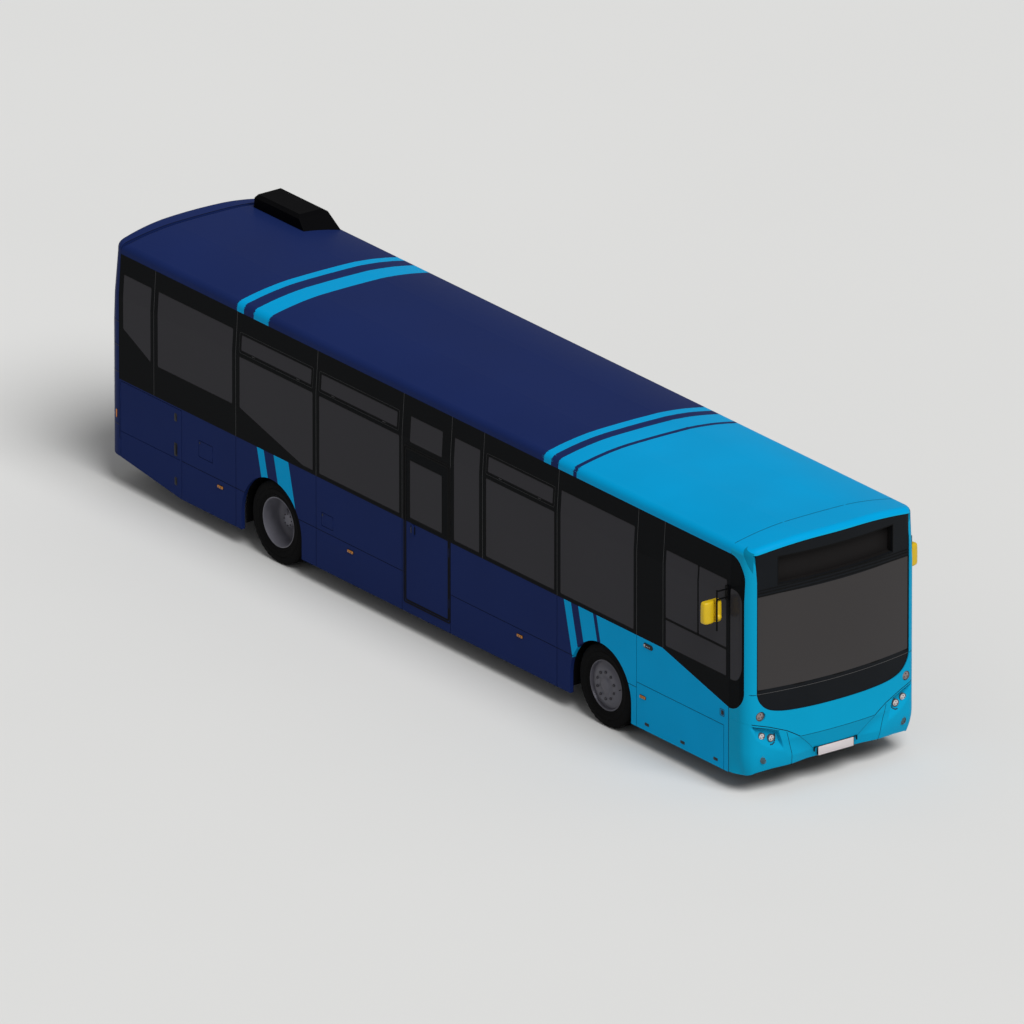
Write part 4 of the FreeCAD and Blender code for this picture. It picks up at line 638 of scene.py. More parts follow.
JOINT_WIDTH = 0.0086
JOINT_FLOOR = -0.0058
COAT_JOINT = -0.0040
BAND_JOINT = -0.0008
CAB_DOOR_EDGE = 2.360
ROOF_EDGE = 0.085


def coat_joint(form, line, place):
    """Dark joint in the coat, a little below its face."""
    strip(form, placed(line), JOINT_WIDTH, place, JOINT_FLOOR, COAT_JOINT, 1)


class BUS_OT_joints(bpy.types.Operator):
    """Fill the panel joints: grey sealant in the band, dark gaps in the coat, seams at nose and tail"""

    bl_idname = "bus.joints"
    bl_label = "Panel joints"

    def execute(self, context):
        grey = mottled("joint_sealant", (0.050, 0.051, 0.053), 0.55, gloss=0.1, grain=900.0)
        dark = mottled("joint_shadow", (0.0025, 0.003, 0.005), 0.8, gloss=0.1)
        form = Form()
        for place in (on_right, on_left):
            for x in BAY_JOINTS + BAND_JOINTS:
                if place is on_left and DOORWAY[0] < x < DOORWAY[1]:
                    continue
                strip(form, placed([(x, BELT), (x, LEAN_START), (x, BAND_TOP)]), JOINT_WIDTH, place,
                      JOINT_FLOOR, BAND_JOINT)
            for x in BAY_JOINTS:
                coat_joint(form, [(x, SKIRT_BOTTOM), (x, BELT)], place)
            end = CAB_DOOR_EDGE if place is on_right else DOORWAY[0]
            runs = ((ENGINE_DOOR[1], -7.0475, SKIRT_CREASE), (-5.9725, EMERGENCY[0] - 0.03, SKIRT_CREASE),
                    (EMERGENCY[1] + 0.03, -0.5675, SKIRT_CREASE), (0.5075, 0.669, SKIRT_CREASE),
                    (0.669, end, CAB_CREASE))
            for start, stop, z in runs:
                coat_joint(form, [(start, z), (stop, z)], place)
        coat_joint(form, [(CAB_DOOR_EDGE, SKIRT_BOTTOM), (CAB_DOOR_EDGE, CAB_CREASE)], on_right)
        form.piece("joint_fillers", "body", (grey, dark))

        seam = Form()
        tail_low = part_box("rear_mask")[0].z + 0.012
        for x, half, lowest in ((CAB_SEAM, 0.0042, SKIRT_BOTTOM), (TAIL_SEAM, 0.0030, tail_low)):
            section = ((-half, -0.001), (-half, 0.0006), (half, 0.0006), (half, -0.001))
            rows = []
            for (y, z), (ny, nz) in skin_section():
                z = max(z, lowest)
                rows.append([Vector((x + dx, y + ny * out, z + nz * out)) for dx, out in section])
            seam.loft(rows)
        seam.piece("end_seams", "body", (dark,))
        return {"FINISHED"}


def bead_round(form, outline, place, width=0.011, high=0.0012):
    """Rubber bead laid round a pane's edge."""
    band_around(form, outline, 0.012, width, place, -0.0015, high, edge=0.0006)


class BUS_OT_windows(bpy.types.Operator):
    """Bead every pane, frame the tilting hopper windows and glaze the front corners"""

    bl_idname = "bus.windows"
    bl_label = "Window beads"

    def execute(self, context):
        bead = rubber("window_bead", (0.0045, 0.0045, 0.0048))
        frame = mottled("hopper_frame", (0.016, 0.016, 0.017), 0.45, grain=900.0)
        for place, extra, side in ((on_right, RIGHT_PANES, "right"), (on_left, LEFT_PANES, "left")):
            form = Form()
            for outline in SHARED_PANES + extra:
                bead_round(form, placed(outline), place)
            for x0, x1 in HOPPERS:
                bead_round(form, side_box(x0, x1, HOPPER_LOW, HOPPER_HIGH), place)
                wide = side_box(x0 - 0.034, x1 + 0.034, HOPPER_LOW - 0.032, HOPPER_HIGH + 0.030)
                band_around(form, wide, 0.02, 0.0035, place, -0.0005, 0.0008, edge=0.0003, finish=1)
                for x in (x0 + 0.25, x1 - 0.25):
                    plate(form, side_box(x - 0.03, x + 0.03, HOPPER_LOW - 0.016, HOPPER_LOW - 0.006),
                          0.003, place, -0.001, 0.004, finish=1)
            form.piece("window_beads_" + side, "body", (bead, frame))
        glass = tinted_glass("corner_glass", context.scene.bus_paint.glass, context.scene.bus_paint)
        form = Form()
        for sign in (1, -1):
            corner_pane(form, sign, 0.009, 0.0010, 1)
            corner_pane(form, sign, 0.0, 0.0020, 0)
        form.piece("corner_glass", "body", (glass, bead))
        return {"FINISHED"}


CORNER_REAR = 0.033
CORNER_LENGTH = 0.213
CORNER_PANE = (1.422, 2.561)


def corner_pane(form, sign, grow, out, finish, steps=14, levels=16):
    """Pane that bends round the front corner, with its forward ends rounded off."""
    heights = range(levels + 1)
    rows = []
    for step in range(steps + 1):
        share = math.sin(math.pi / 2 * step / steps)
        round_off = 1 - math.sqrt(1 - share**3)
        along = CORNER_REAR - grow + (CORNER_LENGTH + 2 * grow) * share
        low = CORNER_PANE[0] - grow + 0.230 * round_off
        high = CORNER_PANE[1] + grow - 0.140 * round_off
        front = [round_corner(along, low + (high - low) * i / levels, out, sign) for i in heights]
        back = [round_corner(along, low + (high - low) * i / levels, -0.002, sign) for i in reversed(heights)]
        rows.append(front + back)
    form.loft(rows, finish)


def round_corner(along, z, out, sign):
    """Point a run ahead of the front joint, along the side and then round the corner of the nose."""
    straight = CORNER_CENTRE_X - CAB_SEAM
    if along <= straight:
        return Vector((CAB_SEAM + along, sign * (side_y(z) + out), z))
    turn = (along - straight) / CORNER_RADIUS
    reach = CORNER_RADIUS + out
    return Vector((CORNER_CENTRE_X + reach * math.sin(turn),
                   sign * (CORNER_CENTRE_Y + reach * math.cos(turn) + side_y(z) - HALF_WIDTH), z))


def skin_section(steps=7):
    """Points and outward directions round the body's section, from one skirt over the roof to the other."""
    up = Vector((-SIDE_LEAN, 1.0)).normalized()
    y = HALF_WIDTH - (3.0 - LEAN_START) * SIDE_LEAN
    corner = Vector((y, crown_z(y)))
    for _ in range(4):
        corner = Vector((side_y(corner.y), crown_z(side_y(corner.y))))
    slope = (crown_z(corner.x - 0.05) - crown_z(corner.x)) / 0.05
    inward = Vector((-1.0, slope)).normalized()
    turn = up.angle(inward)
    reach = ROOF_EDGE * math.tan(turn / 2)
    centre = corner + (inward - up).normalized() * (ROOF_EDGE / math.cos(turn / 2))
    half = [((HALF_WIDTH, SKIRT_BOTTOM), (1.0, 0.0)), ((HALF_WIDTH, LEAN_START), (1.0, 0.0))]
    first = corner - up * reach - centre
    for step in range(steps + 1):
        spun = Matrix.Rotation(turn * step / steps, 2) @ first
        point = centre + spun
        out = spun.normalized()
        half.append(((point.x, point.y), (out.x, out.y)))
    last_y = half[-1][0][0]
    for step in range(1, 15):
        y = last_y * (1 - step / 14)
        half.append(((y, crown_z(y)), (y * 0.12, 1.0)))
    other = [((-y, z), (-ny, nz)) for (y, z), (ny, nz) in reversed(half[:-1])]
    return half + other


# Front face: nose and rounded corner as one skin, u crosswise and v up
CORNER_RADIUS = 0.180
CORNER_CENTRE_Y = HALF_WIDTH - CORNER_RADIUS
CORNER_CENTRE_X = NOSE - NOSE_RADIUS + math.sqrt((NOSE_RADIUS - CORNER_RADIUS)**2 - CORNER_CENTRE_Y**2)
CORNER_START_Y = CORNER_CENTRE_Y * NOSE_RADIUS / (NOSE_RADIUS - CORNER_RADIUS)
SURROUND_RECESS = 0.012
SCREEN = (1.107, 1.342, 2.512)
SIGN = (0.840, 2.640, 2.980)
CHIN_TOP = 0.664
CHIN_SLOPE = 0.086 / (CHIN_TOP - 0.398)
PLATE_HEIGHT = 0.398
PLATE_HALF = (0.260, 0.0555)
PLATE_EDGE = rectangle(-PLATE_HALF[0], PLATE_HALF[0], -PLATE_HALF[1], PLATE_HALF[1])


def on_front(u, v, out):
    """Point on the nose, and round its corner where the width passes the corner's start."""
    if abs(u) <= CORNER_START_Y:
        turn = math.asin(u / NOSE_RADIUS)
        return Vector((nose_x(u) + out * math.cos(turn), u + out * math.sin(turn), v))
    sign = math.copysign(1.0, u)
    across = min((abs(u) - CORNER_CENTRE_Y) / CORNER_RADIUS, 1.0)
    turn = math.asin(across)
    reach = CORNER_RADIUS + out
    return Vector((CORNER_CENTRE_X + reach * math.cos(turn),
                   sign * (CORNER_CENTRE_Y + reach * math.sin(turn)), v))


def on_surround(u, v, out):
    return on_front(u, v, out - SURROUND_RECESS)


def on_chin(u, v, out):
    """Point on the upright carrier of the number plate, whose top edge meets the sloped chin."""
    ahead = NOSE - CHIN_SLOPE * (CHIN_TOP - PLATE_HEIGHT - PLATE_HALF[1]) + 0.004
    return Vector((ahead + out, u, PLATE_HEIGHT + v))


def arched(half, low, rise, steps=12):
    """Outline points of a line across the front that rises towards its centre."""
    return [(half * (2 * i / steps - 1), low + rise * (1 - (2 * i / steps - 1)**2)) for i in range(steps + 1)]


# Skin of the bumper, over (width, height) on the nose
FRONT_CREASE = ((0.0, 0.668), (0.550, 0.668), (0.640, 0.723), (0.730, 0.774), (0.840, 0.816), (0.960, 0.861),
                (1.080, 0.896), (1.175, 0.921))
CREASE_LINE = ((0.0, 0.667), (0.550, 0.667), (0.730, 0.773), (0.960, 0.860), (1.170, 0.920), (1.400, 0.950))
LOWER_EDGE = ((0.0, 0.322), (0.330, 0.323), (0.660, 0.326), (0.900, 0.316), (1.100, 0.290), (1.250, 0.245))
POCKET_EDGE = ((0.745, 0.515), (0.850, 0.540), (0.960, 0.585), (1.050, 0.645), (1.120, 0.715), (1.180, 0.850))
POCKET_DEPTH = 0.052
TUCK_START = 0.560
TUCK_DEPTH = 0.075
BUMPER_WALL = 0.020
BUMPER_LEVELS = 64
POCKET_ENDS = (0.745, 1.180)
CHIN_SIDE = 0.330
CHIN_FADE = (-0.015, 0.380)


def along_line(line, u):
    """Height of a line of (width, height) points at a width, on either side."""
    reach = abs(u)
    for (u0, v0), (u1, v1) in zip(line, line[1:]):
        if reach <= u1:
            return v0 + (v1 - v0) * (reach - u0) / (u1 - u0)
    return line[-1][1]


def eased(value, low, high):
    share = min(max((value - low) / (high - low), 0.0), 1.0)
    return share * share * (3 - 2 * share)


def bumper_depth(u, v):
    """How far the bumper's skin lies behind the plain nose: sloped chin, tucked corners, lamp pockets."""
    reach = abs(u)
    fall = max(CHIN_TOP - v, 0.0)
    chin_edge = CHIN_SIDE + max(v - 0.440, 0.0) * 0.98
    beside = eased(reach, *(chin_edge + end for end in CHIN_FADE))
    chin = CHIN_SLOPE * fall * (1.0 - beside)
    tuck = TUCK_DEPTH * (max(TUCK_START - v, 0.0) / (TUCK_START - SKIRT_BOTTOM))**2 * beside
    pocket = 0.0
    if POCKET_ENDS[0] < reach < POCKET_ENDS[1]:
        above = along_line(CREASE_LINE, u) - 0.026 - v
        inner = reach - (0.757 + max(v - 0.540, 0.0) * 0.33)
        outer = v - along_line(((0.0, 0.515),) + POCKET_EDGE, u)
        pocket = POCKET_DEPTH * eased(above, 0.0, 0.012) * eased(inner, 0.0, 0.020) * eased(outer, 0.0, 0.150)
    return chin + tuck + pocket


def on_bumper(u, v, out):
    return on_front(u, v, out - bumper_depth(u, v))


class BUS_OT_bumper(bpy.types.Operator):
    """Shape the bumper's skin with its chin, tucked corners, arched lower edge and lamp pockets"""

    bl_idname = "bus.bumper"
    bl_label = "Bumper"

    def execute(self, context):
        paint = context.scene.bus_paint
        # The bumper takes the nose's cyan, with its painted shade
        skin = plain_coat("bumper_coat_painted_shade", paint.front, paint)
        widths = [HALF_WIDTH - 0.0006 - 0.018 * i * i / 36 for i in range(7)]
        width = widths[-1]
        while width > 0.012:
            width -= 0.010 if 0.72 < width < 1.2 else 0.022
            widths.append(max(width, 0.0))
        widths = [-w for w in widths] + list(reversed(widths[:-1]))
        stations = [CAB_SEAM + (CORNER_CENTRE_X - CAB_SEAM) * i / 5 for i in range(5)]
        columns = [(-HALF_WIDTH, x) for x in stations] + [(w, None) for w in widths]
        columns += [(HALF_WIDTH, x) for x in reversed(stations)]
        form = Form()
        loops = []
        for level in range(BUMPER_LEVELS + 1):
            outer, inner = [], []
            for u, x in columns:
                low = along_line(LOWER_EDGE, u)
                high = along_line(CREASE_LINE, u) - 0.0012
                v = low + (high - low) * level / BUMPER_LEVELS
                outer.append(bumper_point(u, v, x, 0.0))
                inner.append(bumper_point(u, v, x, -BUMPER_WALL))
            loops.append(outer + inner[::-1])
        form.loft(loops, ends=False)
        count = len(columns)
        for loop, first in ((0, True), (len(loops) - 1, False)):
            start = loop * 2 * count
            for step in range(count - 1):
                quad = (start + step, start + step + 1, start + 2 * count - 2 - step,
                        start + 2 * count - 1 - step)
                form.faces.append(quad if first else tuple(reversed(quad)))
                form.finish_of.append(0)
        bumper = form.piece("bumper_skin", "body", (skin,), 30.0)
        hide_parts("front_bumper")
        return {"FINISHED"}


def bumper_point(u, v, x, out):
    """Point of the bumper's skin; x is given on the straight sides and left out on the nose."""
    if x is None:
        return on_bumper(u, v, out)
    fade = (x - CAB_SEAM) / (CORNER_CENTRE_X - CAB_SEAM)
    return Vector((x, math.copysign(HALF_WIDTH + out - bumper_depth(HALF_WIDTH, v) * fade * fade, u), v))


def plate_white(name, context):
    return mottled(name, context.scene.bus_paint.plate, 0.45, gloss=0.3, spread=0.03, patch=20.0, grain=400.0)


# Dark lines on each half of the front, panel joints and painted crease shadows: width, skin, height, step
# along and the line itself
FRONT_JOINTS = (
    (0.0040, on_front, 0.0006, 0.015, ((1.132, 1.292), (1.200, 1.296))),
    (0.0060, on_bumper, 0.0008, 0.030, ((0.731, 0.757), (0.700, 0.640), (0.656, 0.471), (0.640, 0.310))),
    # Painted shadow along the crease under the headlamps
    (0.0090, on_front, 0.0008, 0.020, tuple((u, z + 0.001) for u, z in FRONT_CREASE[1:])),
    # Painted shade along the edges of the sloped chin
    (0.0036, on_bumper, 0.0006, 0.020, ((0.545, 0.655), (0.480, 0.600), (0.400, 0.525), (0.330, 0.447))),
    # Painted shade along the tops of the lamp pockets
    (0.0045, on_front, 0.0006, 0.020, ((0.826, 0.792), (0.960, 0.838), (1.165, 0.890))),
)


class BUS_OT_front_trim(bpy.types.Operator):
    """Trim the front: screen rubber, mouldings, display frame, joints, painted shadow along creases, blank
    plate and tow covers
    """

    bl_idname = "bus.front_trim"
    bl_label = "Front trim"

    def execute(self, context):
        black = rubber("screen_rubber", (0.0055, 0.0055, 0.0055))
        grey = mottled("front_joint_grey", (0.075, 0.073, 0.072), 0.5, grain=900.0)
        dark = mottled("front_joint_and_crease_shadow", (0.002, 0.012, 0.020), 0.8, gloss=0.1)
        white = plate_white("blank_plate", context)
        half, low, high = SCREEN
        form = Form()
        across = arched(half, high, 0.030)
        outline = [(u, low) for u in (-half, -half * 0.5, 0.0, half * 0.5, half)] + list(reversed(across))
        rows = []
        for spread, out in ((0.0, -0.004), (0.001, 0.0035), (0.013, 0.0035), (0.014, -0.004)):
            rows.append([on_surround(u * (1 + spread / half), v + spread * (1 if v > low else -1), out)
                         for u, v in outline])
        form.torus_loft(rows)
        for base, height in ((2.560, 0.016), (2.596, 0.011)):
            section = ((-height / 2, -0.002), (-height / 4, 0.006), (height / 4, 0.006), (height / 2, -0.002))
            form.loft([[on_surround(u, v + dv, out) for dv, out in section]
                       for u, v in arched(1.100, base, 0.030, 24)])
        half, low, high = SIGN
        corners = rectangle(-half, half, low, high)
        sign_outline = []
        for (u0, v0), (u1, v1) in zip(corners, corners[1:] + corners[:1]):
            sign_outline += [(u0 + (u1 - u0) * i / 8, v0 + (v1 - v0) * i / 8) for i in range(8)]
        rows = []
        for spread, out in ((0.0, -0.004), (0.001, 0.003), (0.010, 0.003), (0.011, -0.004)):
            rows.append([on_surround(u + math.copysign(spread, u) * (abs(u) > half - 0.001),
                                     v + spread * ((v >= high) - (v <= low)), out) for u, v in sign_outline])
        form.torus_loft(rows)
        strip(form, [(-1.112, 1.290), (1.112, 1.290)], 0.0045, on_surround, -0.001, 0.0012, 1, divide=0.06)
        for sign in (1, -1):
            for width, place, out, divide, line in FRONT_JOINTS:
                strip(form, [(sign * u, z) for u, z in line], width, place, -0.001, out, 2, divide)
        strip(form, [(-0.550, 0.668), (0.550, 0.668)], 0.0050, on_front, -0.001, 0.0006, 2, divide=0.03)
        form.piece("front_mouldings_and_crease_shadows", "body", (black, grey, dark))

        form = Form()
        wide, tall = PLATE_HALF
        plate(form, PLATE_EDGE, 0.010, on_chin, 0.0002, 0.004, edge=0.001)
        plate(form, rectangle(-wide + 0.006, wide - 0.006, -tall + 0.006, tall - 0.006), 0.006, on_chin,
              0.004, 0.0048, edge=0.0004)
        form.piece("front_plate", "body", (white,))
        form = Form()
        band_around(form, PLATE_EDGE, 0.010, 0.006, on_chin, 0.0002, 0.0055, edge=0.001)
        plate(form, rectangle(-wide + 0.004, wide - 0.004, -tall + 0.002, tall - 0.004), 0.004, on_chin,
              -0.030, 0.0)
        for sign in (1, -1):
            for du, dv, w, h in ((0.292, 0.058, 0.050, 0.010), (0.312, 0.034, 0.010, 0.056)):
                u0, u1 = sorted((sign * (du - w / 2), sign * (du + w / 2)))
                plate(form, rectangle(u0, u1, dv - h / 2, dv + h / 2), 0.002, on_chin, -0.014, 0.004,
                      finish=1)
        form.piece("plate_frame", "body", (black, dark))
        return {"FINISHED"}


HEADLAMPS = ((1.040, 0.746), (0.915, 0.708))
INDICATOR = (1.070, 1.012)
FOG = (1.020, 0.458)
LED_MARK = ((-0.024, 0.0085), (0.0, 0.0085), (0.0008, 0.001))
LED_MARKS = ((0.862, 0.742), (0.858, 0.722), (0.856, 0.702), (0.858, 0.682), (0.864, 0.662), (0.876, 0.646),
             (0.892, 0.636), (0.910, 0.630), (0.930, 0.632))


# Turned parts of a lamp: (ahead of its face, share of its radius)
LAMP_BEZEL = ((-0.080, 0.6), (-0.050, 1.0), (-0.004, 1.0), (0.0, 0.975), (0.001, 0.93), (-0.003, 0.90),
              (-0.012, 0.88))
LAMP_LENS = ((-0.020, 0.89), (-0.008, 0.86), (-0.002, 0.72), (0.001, 0.45))
LAMP_DOT = ((-0.003, 0.16), (0.0012, 0.15))
AHEAD = (1.0, 0.0, 0.0)
BEHIND = (-1.0, 0.0, 0.0)


def lamp_unit(form, y, z, radius, front, glass=2):
    """Round lamp that looks forward: a bezel, a domed lens and three dark dots on it."""
    place = (0.0, y, z)
    lathe(form, moved(LAMP_BEZEL, front, radius), place, AHEAD)
    lathe(form, moved(LAMP_LENS, front, radius) + [(front + 0.002, 0.001)], place, AHEAD, finish=glass)
    for turn in range(3):
        angle = math.radians(90 + 120 * turn)
        centre = Vector((front + 0.0012, y + radius * 0.42 * math.cos(angle),
                         z + radius * 0.42 * math.sin(angle)))
        lathe(form, moved(LAMP_DOT, 0.0, radius) + [(0.0016, 0.0005)], centre, AHEAD, steps=16, finish=3)


class BUS_OT_front_lamps(bpy.types.Operator):
    """Fit headlamps, running lamps, indicators and fog lamps in their pockets"""

    bl_idname = "bus.front_lamps"
    bl_label = "Front lamps"

    def execute(self, context):
        bezel = mottled("lamp_bezel", (0.16, 0.155, 0.16), 0.3, gloss=0.4, metal=0.6, grain=900.0)
        hollow = mottled("lamp_socket", (0.010, 0.010, 0.011), 0.5)
        lens = mottled("lamp_glass", (0.50, 0.46, 0.46), 0.18, gloss=0.5, spread=0.25, patch=45.0,
                       grain=300.0)
        core = mottled("lamp_core", (0.045, 0.040, 0.042), 0.3, gloss=0.5)
        smoked = mottled("indicator_glass", (0.20, 0.165, 0.165), 0.22, gloss=0.5, spread=0.4, patch=60.0)
        fog = mottled("fog_glass", (0.025, 0.075, 0.10), 0.2, gloss=0.5, spread=0.3, patch=60.0)
        form = Form()
        for sign in (1, -1):
            for y, z in HEADLAMPS:
                lamp_unit(form, sign * y, z, 0.046, nose_x(y) - 0.022)
            y, z = INDICATOR
            lamp_unit(form, sign * y, z, 0.0575, on_front(y, z, 0).x - 0.006, glass=4)
            y, z = FOG
            lamp_unit(form, sign * y, z, 0.0505, on_bumper(y, z, 0).x + 0.002, glass=5)
            for y, z in LED_MARKS:
                face = on_bumper(y, z, 0.004).x
                lathe(form, moved(LED_MARK, face), (0.0, sign * y, z), AHEAD, steps=12, finish=1)
        lamps = form.piece("front_lamp_units", "body", (bezel, hollow, lens, core, smoked, fog))
        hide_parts("front_lamps")
        return {"FINISHED"}


TAIL_LAMPS = ((0.760, 2), (0.900, 3), (1.040, 2), (1.180, 4))
TAIL_LAMP_OUT = 1.075
TAIL_BEZEL = ((-0.055, 0.054), (0.0, 0.054), (0.006, 0.0525), (0.006, 0.048), (-0.004, 0.046))
TAIL_LENS = ((-0.006, 0.0465), (0.004, 0.046), (0.009, 0.036), (0.012, 0.020), (0.013, 0.001))
REAR_PLATE = 0.515
REAR_CORNER_LINES = (2.115, 1.810, 1.470, 0.798)
TAIL_RUN = 0.110


def tail_corner(along, z, out, sign):
    """Point a run behind the tail's seam, round the corner of the tail."""
    side = side_y(z)
    away = TAIL + max(0.0, z - TAIL_LEAN_START) * TAIL_LEAN + TAIL_RADIUS - TAIL_SEAM
    radius = (TAIL_RADIUS**2 - side**2 - away**2) / (2 * (TAIL_RADIUS - side))
    turn = along / radius
    return Vector((TAIL_SEAM - (radius + out) * math.sin(turn),
                   sign * (side - radius + (radius + out) * math.cos(turn)), z))


class BUS_OT_rear_trim(bpy.types.Operator):
    """Fit the rear lamps, the blank rear plate, the hatch handle and the window rubber"""

    bl_idname = "bus.rear_trim"
    bl_label = "Rear trim"

    def execute(self, context):
        bezel = mottled("tail_bezel", (0.012, 0.012, 0.013), 0.4)
        red = mottled("stop_glass", (0.30, 0.006, 0.008), 0.2, gloss=0.5, spread=0.2, patch=60.0)
        amber = mottled("turn_glass", (0.48, 0.13, 0.006), 0.2, gloss=0.5, spread=0.2, patch=60.0)
        clear = mottled("reverse_glass", (0.45, 0.44, 0.44), 0.2, gloss=0.5, spread=0.2, patch=60.0)
        black = rubber("rear_rubber", (0.0055, 0.0055, 0.0055))
        white = plate_white("blank_rear_plate", context)
        form = Form()
        for sign in (1, -1):
            for z, finish in TAIL_LAMPS:
                face = -(TAIL + TAIL_LAMP_OUT**2 / (2 * TAIL_RADIUS) + 0.022)
                place = (0.0, sign * TAIL_LAMP_OUT, z)
                lathe(form, moved(TAIL_BEZEL, face), place, BEHIND)
                lathe(form, moved(TAIL_LENS, face), place, BEHIND, finish=finish)
        lamps = form.piece("rear_lamp_units", "body", (bezel, black, red, amber, clear))
        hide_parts("rear_lamps")

        form = Form()

        def on_rear_plate(u, v, out):
            return Vector((TAIL + 0.014 - out, u, REAR_PLATE + v))

        plate(form, PLATE_EDGE, 0.010, on_rear_plate, 0.0002, 0.004, edge=0.001)
        band_around(form, PLATE_EDGE, 0.010, 0.006, on_rear_plate, 0.0002, 0.0055, edge=0.001, finish=1)
        outline = rectangle(-0.860, 0.860, 1.800, 2.560)
        band_around(form, outline, 0.040, 0.014, on_tail, -0.003, 0.004, finish=1, steps=6)
        form.piece("rear_plate", "body", (white, black))

        form = Form()
        for sign in (1, -1):
            def on_tail_corner(u, v, out, sign=sign):
                return tail_corner(u, v, out, sign)

            for z in REAR_CORNER_LINES:
                strip(form, [(0.004, z), (TAIL_RUN, z)], 0.005, on_tail_corner, -0.002, 0.0008, 1,
                      divide=0.01)
            lamp = rectangle(0.040, 0.072, 0.872, 0.990)
            plate(form, lamp, 0.012, on_tail_corner, -0.004, 0.004, finish=1)
            plate(form, rectangle(0.046, 0.066, 0.880, 0.982), 0.009, on_tail_corner, 0.003, 0.010,
                  edge=0.003)
        form.piece("rear_corner_marks", "body", (amber, bezel))

        form = Form()
        grip = rectangle(-0.17, 0.17, 0.735, 0.790)
        band_around(form, grip, 0.020, 0.010, on_tail, -0.002, 0.006, finish=1)
        plate(form, grip, 0.020, on_tail, -0.004, 0.001, finish=1)
        for z in (1.245, 1.350):
            for y in (-0.76, 0.73):
                plate(form, rectangle(y, y + 0.03, z, z + 0.03), 0.006, on_tail, -0.002, 0.004, finish=1)
        form.piece("hatch_fittings", "engine_hatch", (black, bezel))
        return {"FINISHED"}


# Wheels
TYRE_STEPS = 120
BEAD_RADIUS = 0.313
TREAD_GROOVE = 0.009
TREAD_LINES = (0.0, 0.042, 0.083)
NUT_COUNT = 10
NUT_CIRCLE = 0.1675
TREAD_EDGE = ((0.100, 0.0005, 0), (0.112, 0.0025, 1), (0.124, 0.010, 1))
SIDE_WALL = ((0.0165, 0.019, 1), (0.011, 0.034, 1), (0.008, 0.045, 0), (0.004, 0.070, 0), (0.001, 0.095, 0),
             (0.0035, 0.098, 0), (0.0035, 0.101, 0), (0.0005, 0.104, 0), (0.0005, 0.135, 0),
             (0.004, 0.160, 0), (0.0075, 0.164, 0), (0.0075, 0.168, 0), (0.005, 0.171, 0), (0.010, 0.186, 0),
             (0.018, 0.196, 0), (0.020, 0.202, 0), (0.030, TYRE_RADIUS - BEAD_RADIUS, 0))
RIM_EDGE = BEAD_RADIUS - 0.0008
RIM_WELL = RIM_EDGE - 0.012
TWIN_MIDDLE = WHEEL_FACE - TYRE_WIDTH / 2 - TWIN_SPACING / 2
TWIN_REACH = TWIN_SPACING / 2 + TYRE_WIDTH / 2 - 0.022

# Rims, as (outward of the wheel's face or of the twin wheels' middle, radius)
FRONT_RIM = ((-0.021, RIM_EDGE), (-0.020, RIM_EDGE - 0.004), (-0.022, RIM_EDGE - 0.010), (-0.025, RIM_WELL),
             (-0.044, RIM_WELL - 0.002), (-0.052, RIM_WELL - 0.008), (-0.046, 0.275), (-0.036, 0.246),
             (-0.026, 0.226), (-0.020, 0.206), (-0.019, 0.190), (-0.019, 0.140), (-0.020, 0.120),
             (-0.016, 0.112), (-0.014, 0.098), (-0.008, 0.090), (-0.007, 0.070), (-0.005, 0.060),
             (-0.0045, 0.030), (-0.005, 0.0005), (-0.050, 0.0005), (-0.058, 0.200),
             (-0.066, RIM_WELL - 0.010), (-0.075, RIM_WELL), (0.026 - TYRE_WIDTH, RIM_WELL),
             (0.022 - TYRE_WIDTH, RIM_EDGE - 0.004), (0.022 - TYRE_WIDTH, RIM_EDGE))
TWIN_RIM = ((TWIN_REACH, RIM_EDGE), (TWIN_REACH + 0.001, RIM_EDGE - 0.005),
            (TWIN_REACH - 0.002, RIM_EDGE - 0.011), (TWIN_REACH - 0.008, RIM_WELL), (0.150, RIM_WELL - 0.001),
            (0.075, RIM_WELL - 0.004), (0.058, RIM_WELL - 0.012), (0.040, 0.272), (0.024, 0.245),
            (0.015, 0.225), (0.0125, 0.205), (0.0125, 0.130), (0.014, 0.118), (0.030, 0.106), (0.120, 0.098),
            (0.140, 0.092), (0.151, 0.080), (0.156, 0.055), (0.158, 0.0005), (-0.010, 0.0005),
            (-0.012, 0.240), (-0.050, RIM_WELL - 0.010), (-0.075, RIM_WELL), (0.004 - TWIN_REACH, RIM_WELL),
            (-TWIN_REACH, RIM_EDGE - 0.005), (-TWIN_REACH, RIM_EDGE))

NUT_WASHER = ((-0.004, 0.0205), (0.004, 0.0205), (0.0045, 0.016))
NUT_TOP = ((-0.005, 0.0168), (-0.001, 0.0145), (-0.0005, 0.0085))
NUT_STUD = ((-0.004, 0.0085), (0.0035, 0.0085), (0.005, 0.0065), (0.005, 0.0005))
FRONT_HUB = ((-0.130, 0.001), (-0.130, 0.105), (-0.052, 0.108), (-0.050, 0.001))
HUB_BOLT = ((0.150, 0.009), (0.160, 0.009), (0.162, 0.007), (0.162, 0.0005))


def tread_outline():
    """Half of the tyre's outline from the middle of the tread to the bead: (across, radius, cut by lugs)."""
    top = TYRE_RADIUS
    side = TYRE_WIDTH / 2
    groove = 0.0055
    points = []
    for index, line in enumerate(TREAD_LINES):
        if index:
            points += [(line - groove - 0.002, top, 0), (line - groove, top - 0.001, 0)]
        points += [(max(line - groove * 0.7, 0.0), top - TREAD_GROOVE, 0),
                   (line + groove * 0.7, top - TREAD_GROOVE, 0), (line + groove, top - 0.001, 0),
                   (line + groove + 0.002, top, 0)]
    points += [(across, top - drop, cut) for across, drop, cut in TREAD_EDGE]
    points += [(side - inward, top - drop, cut) for inward, drop, cut in SIDE_WALL]
    return points


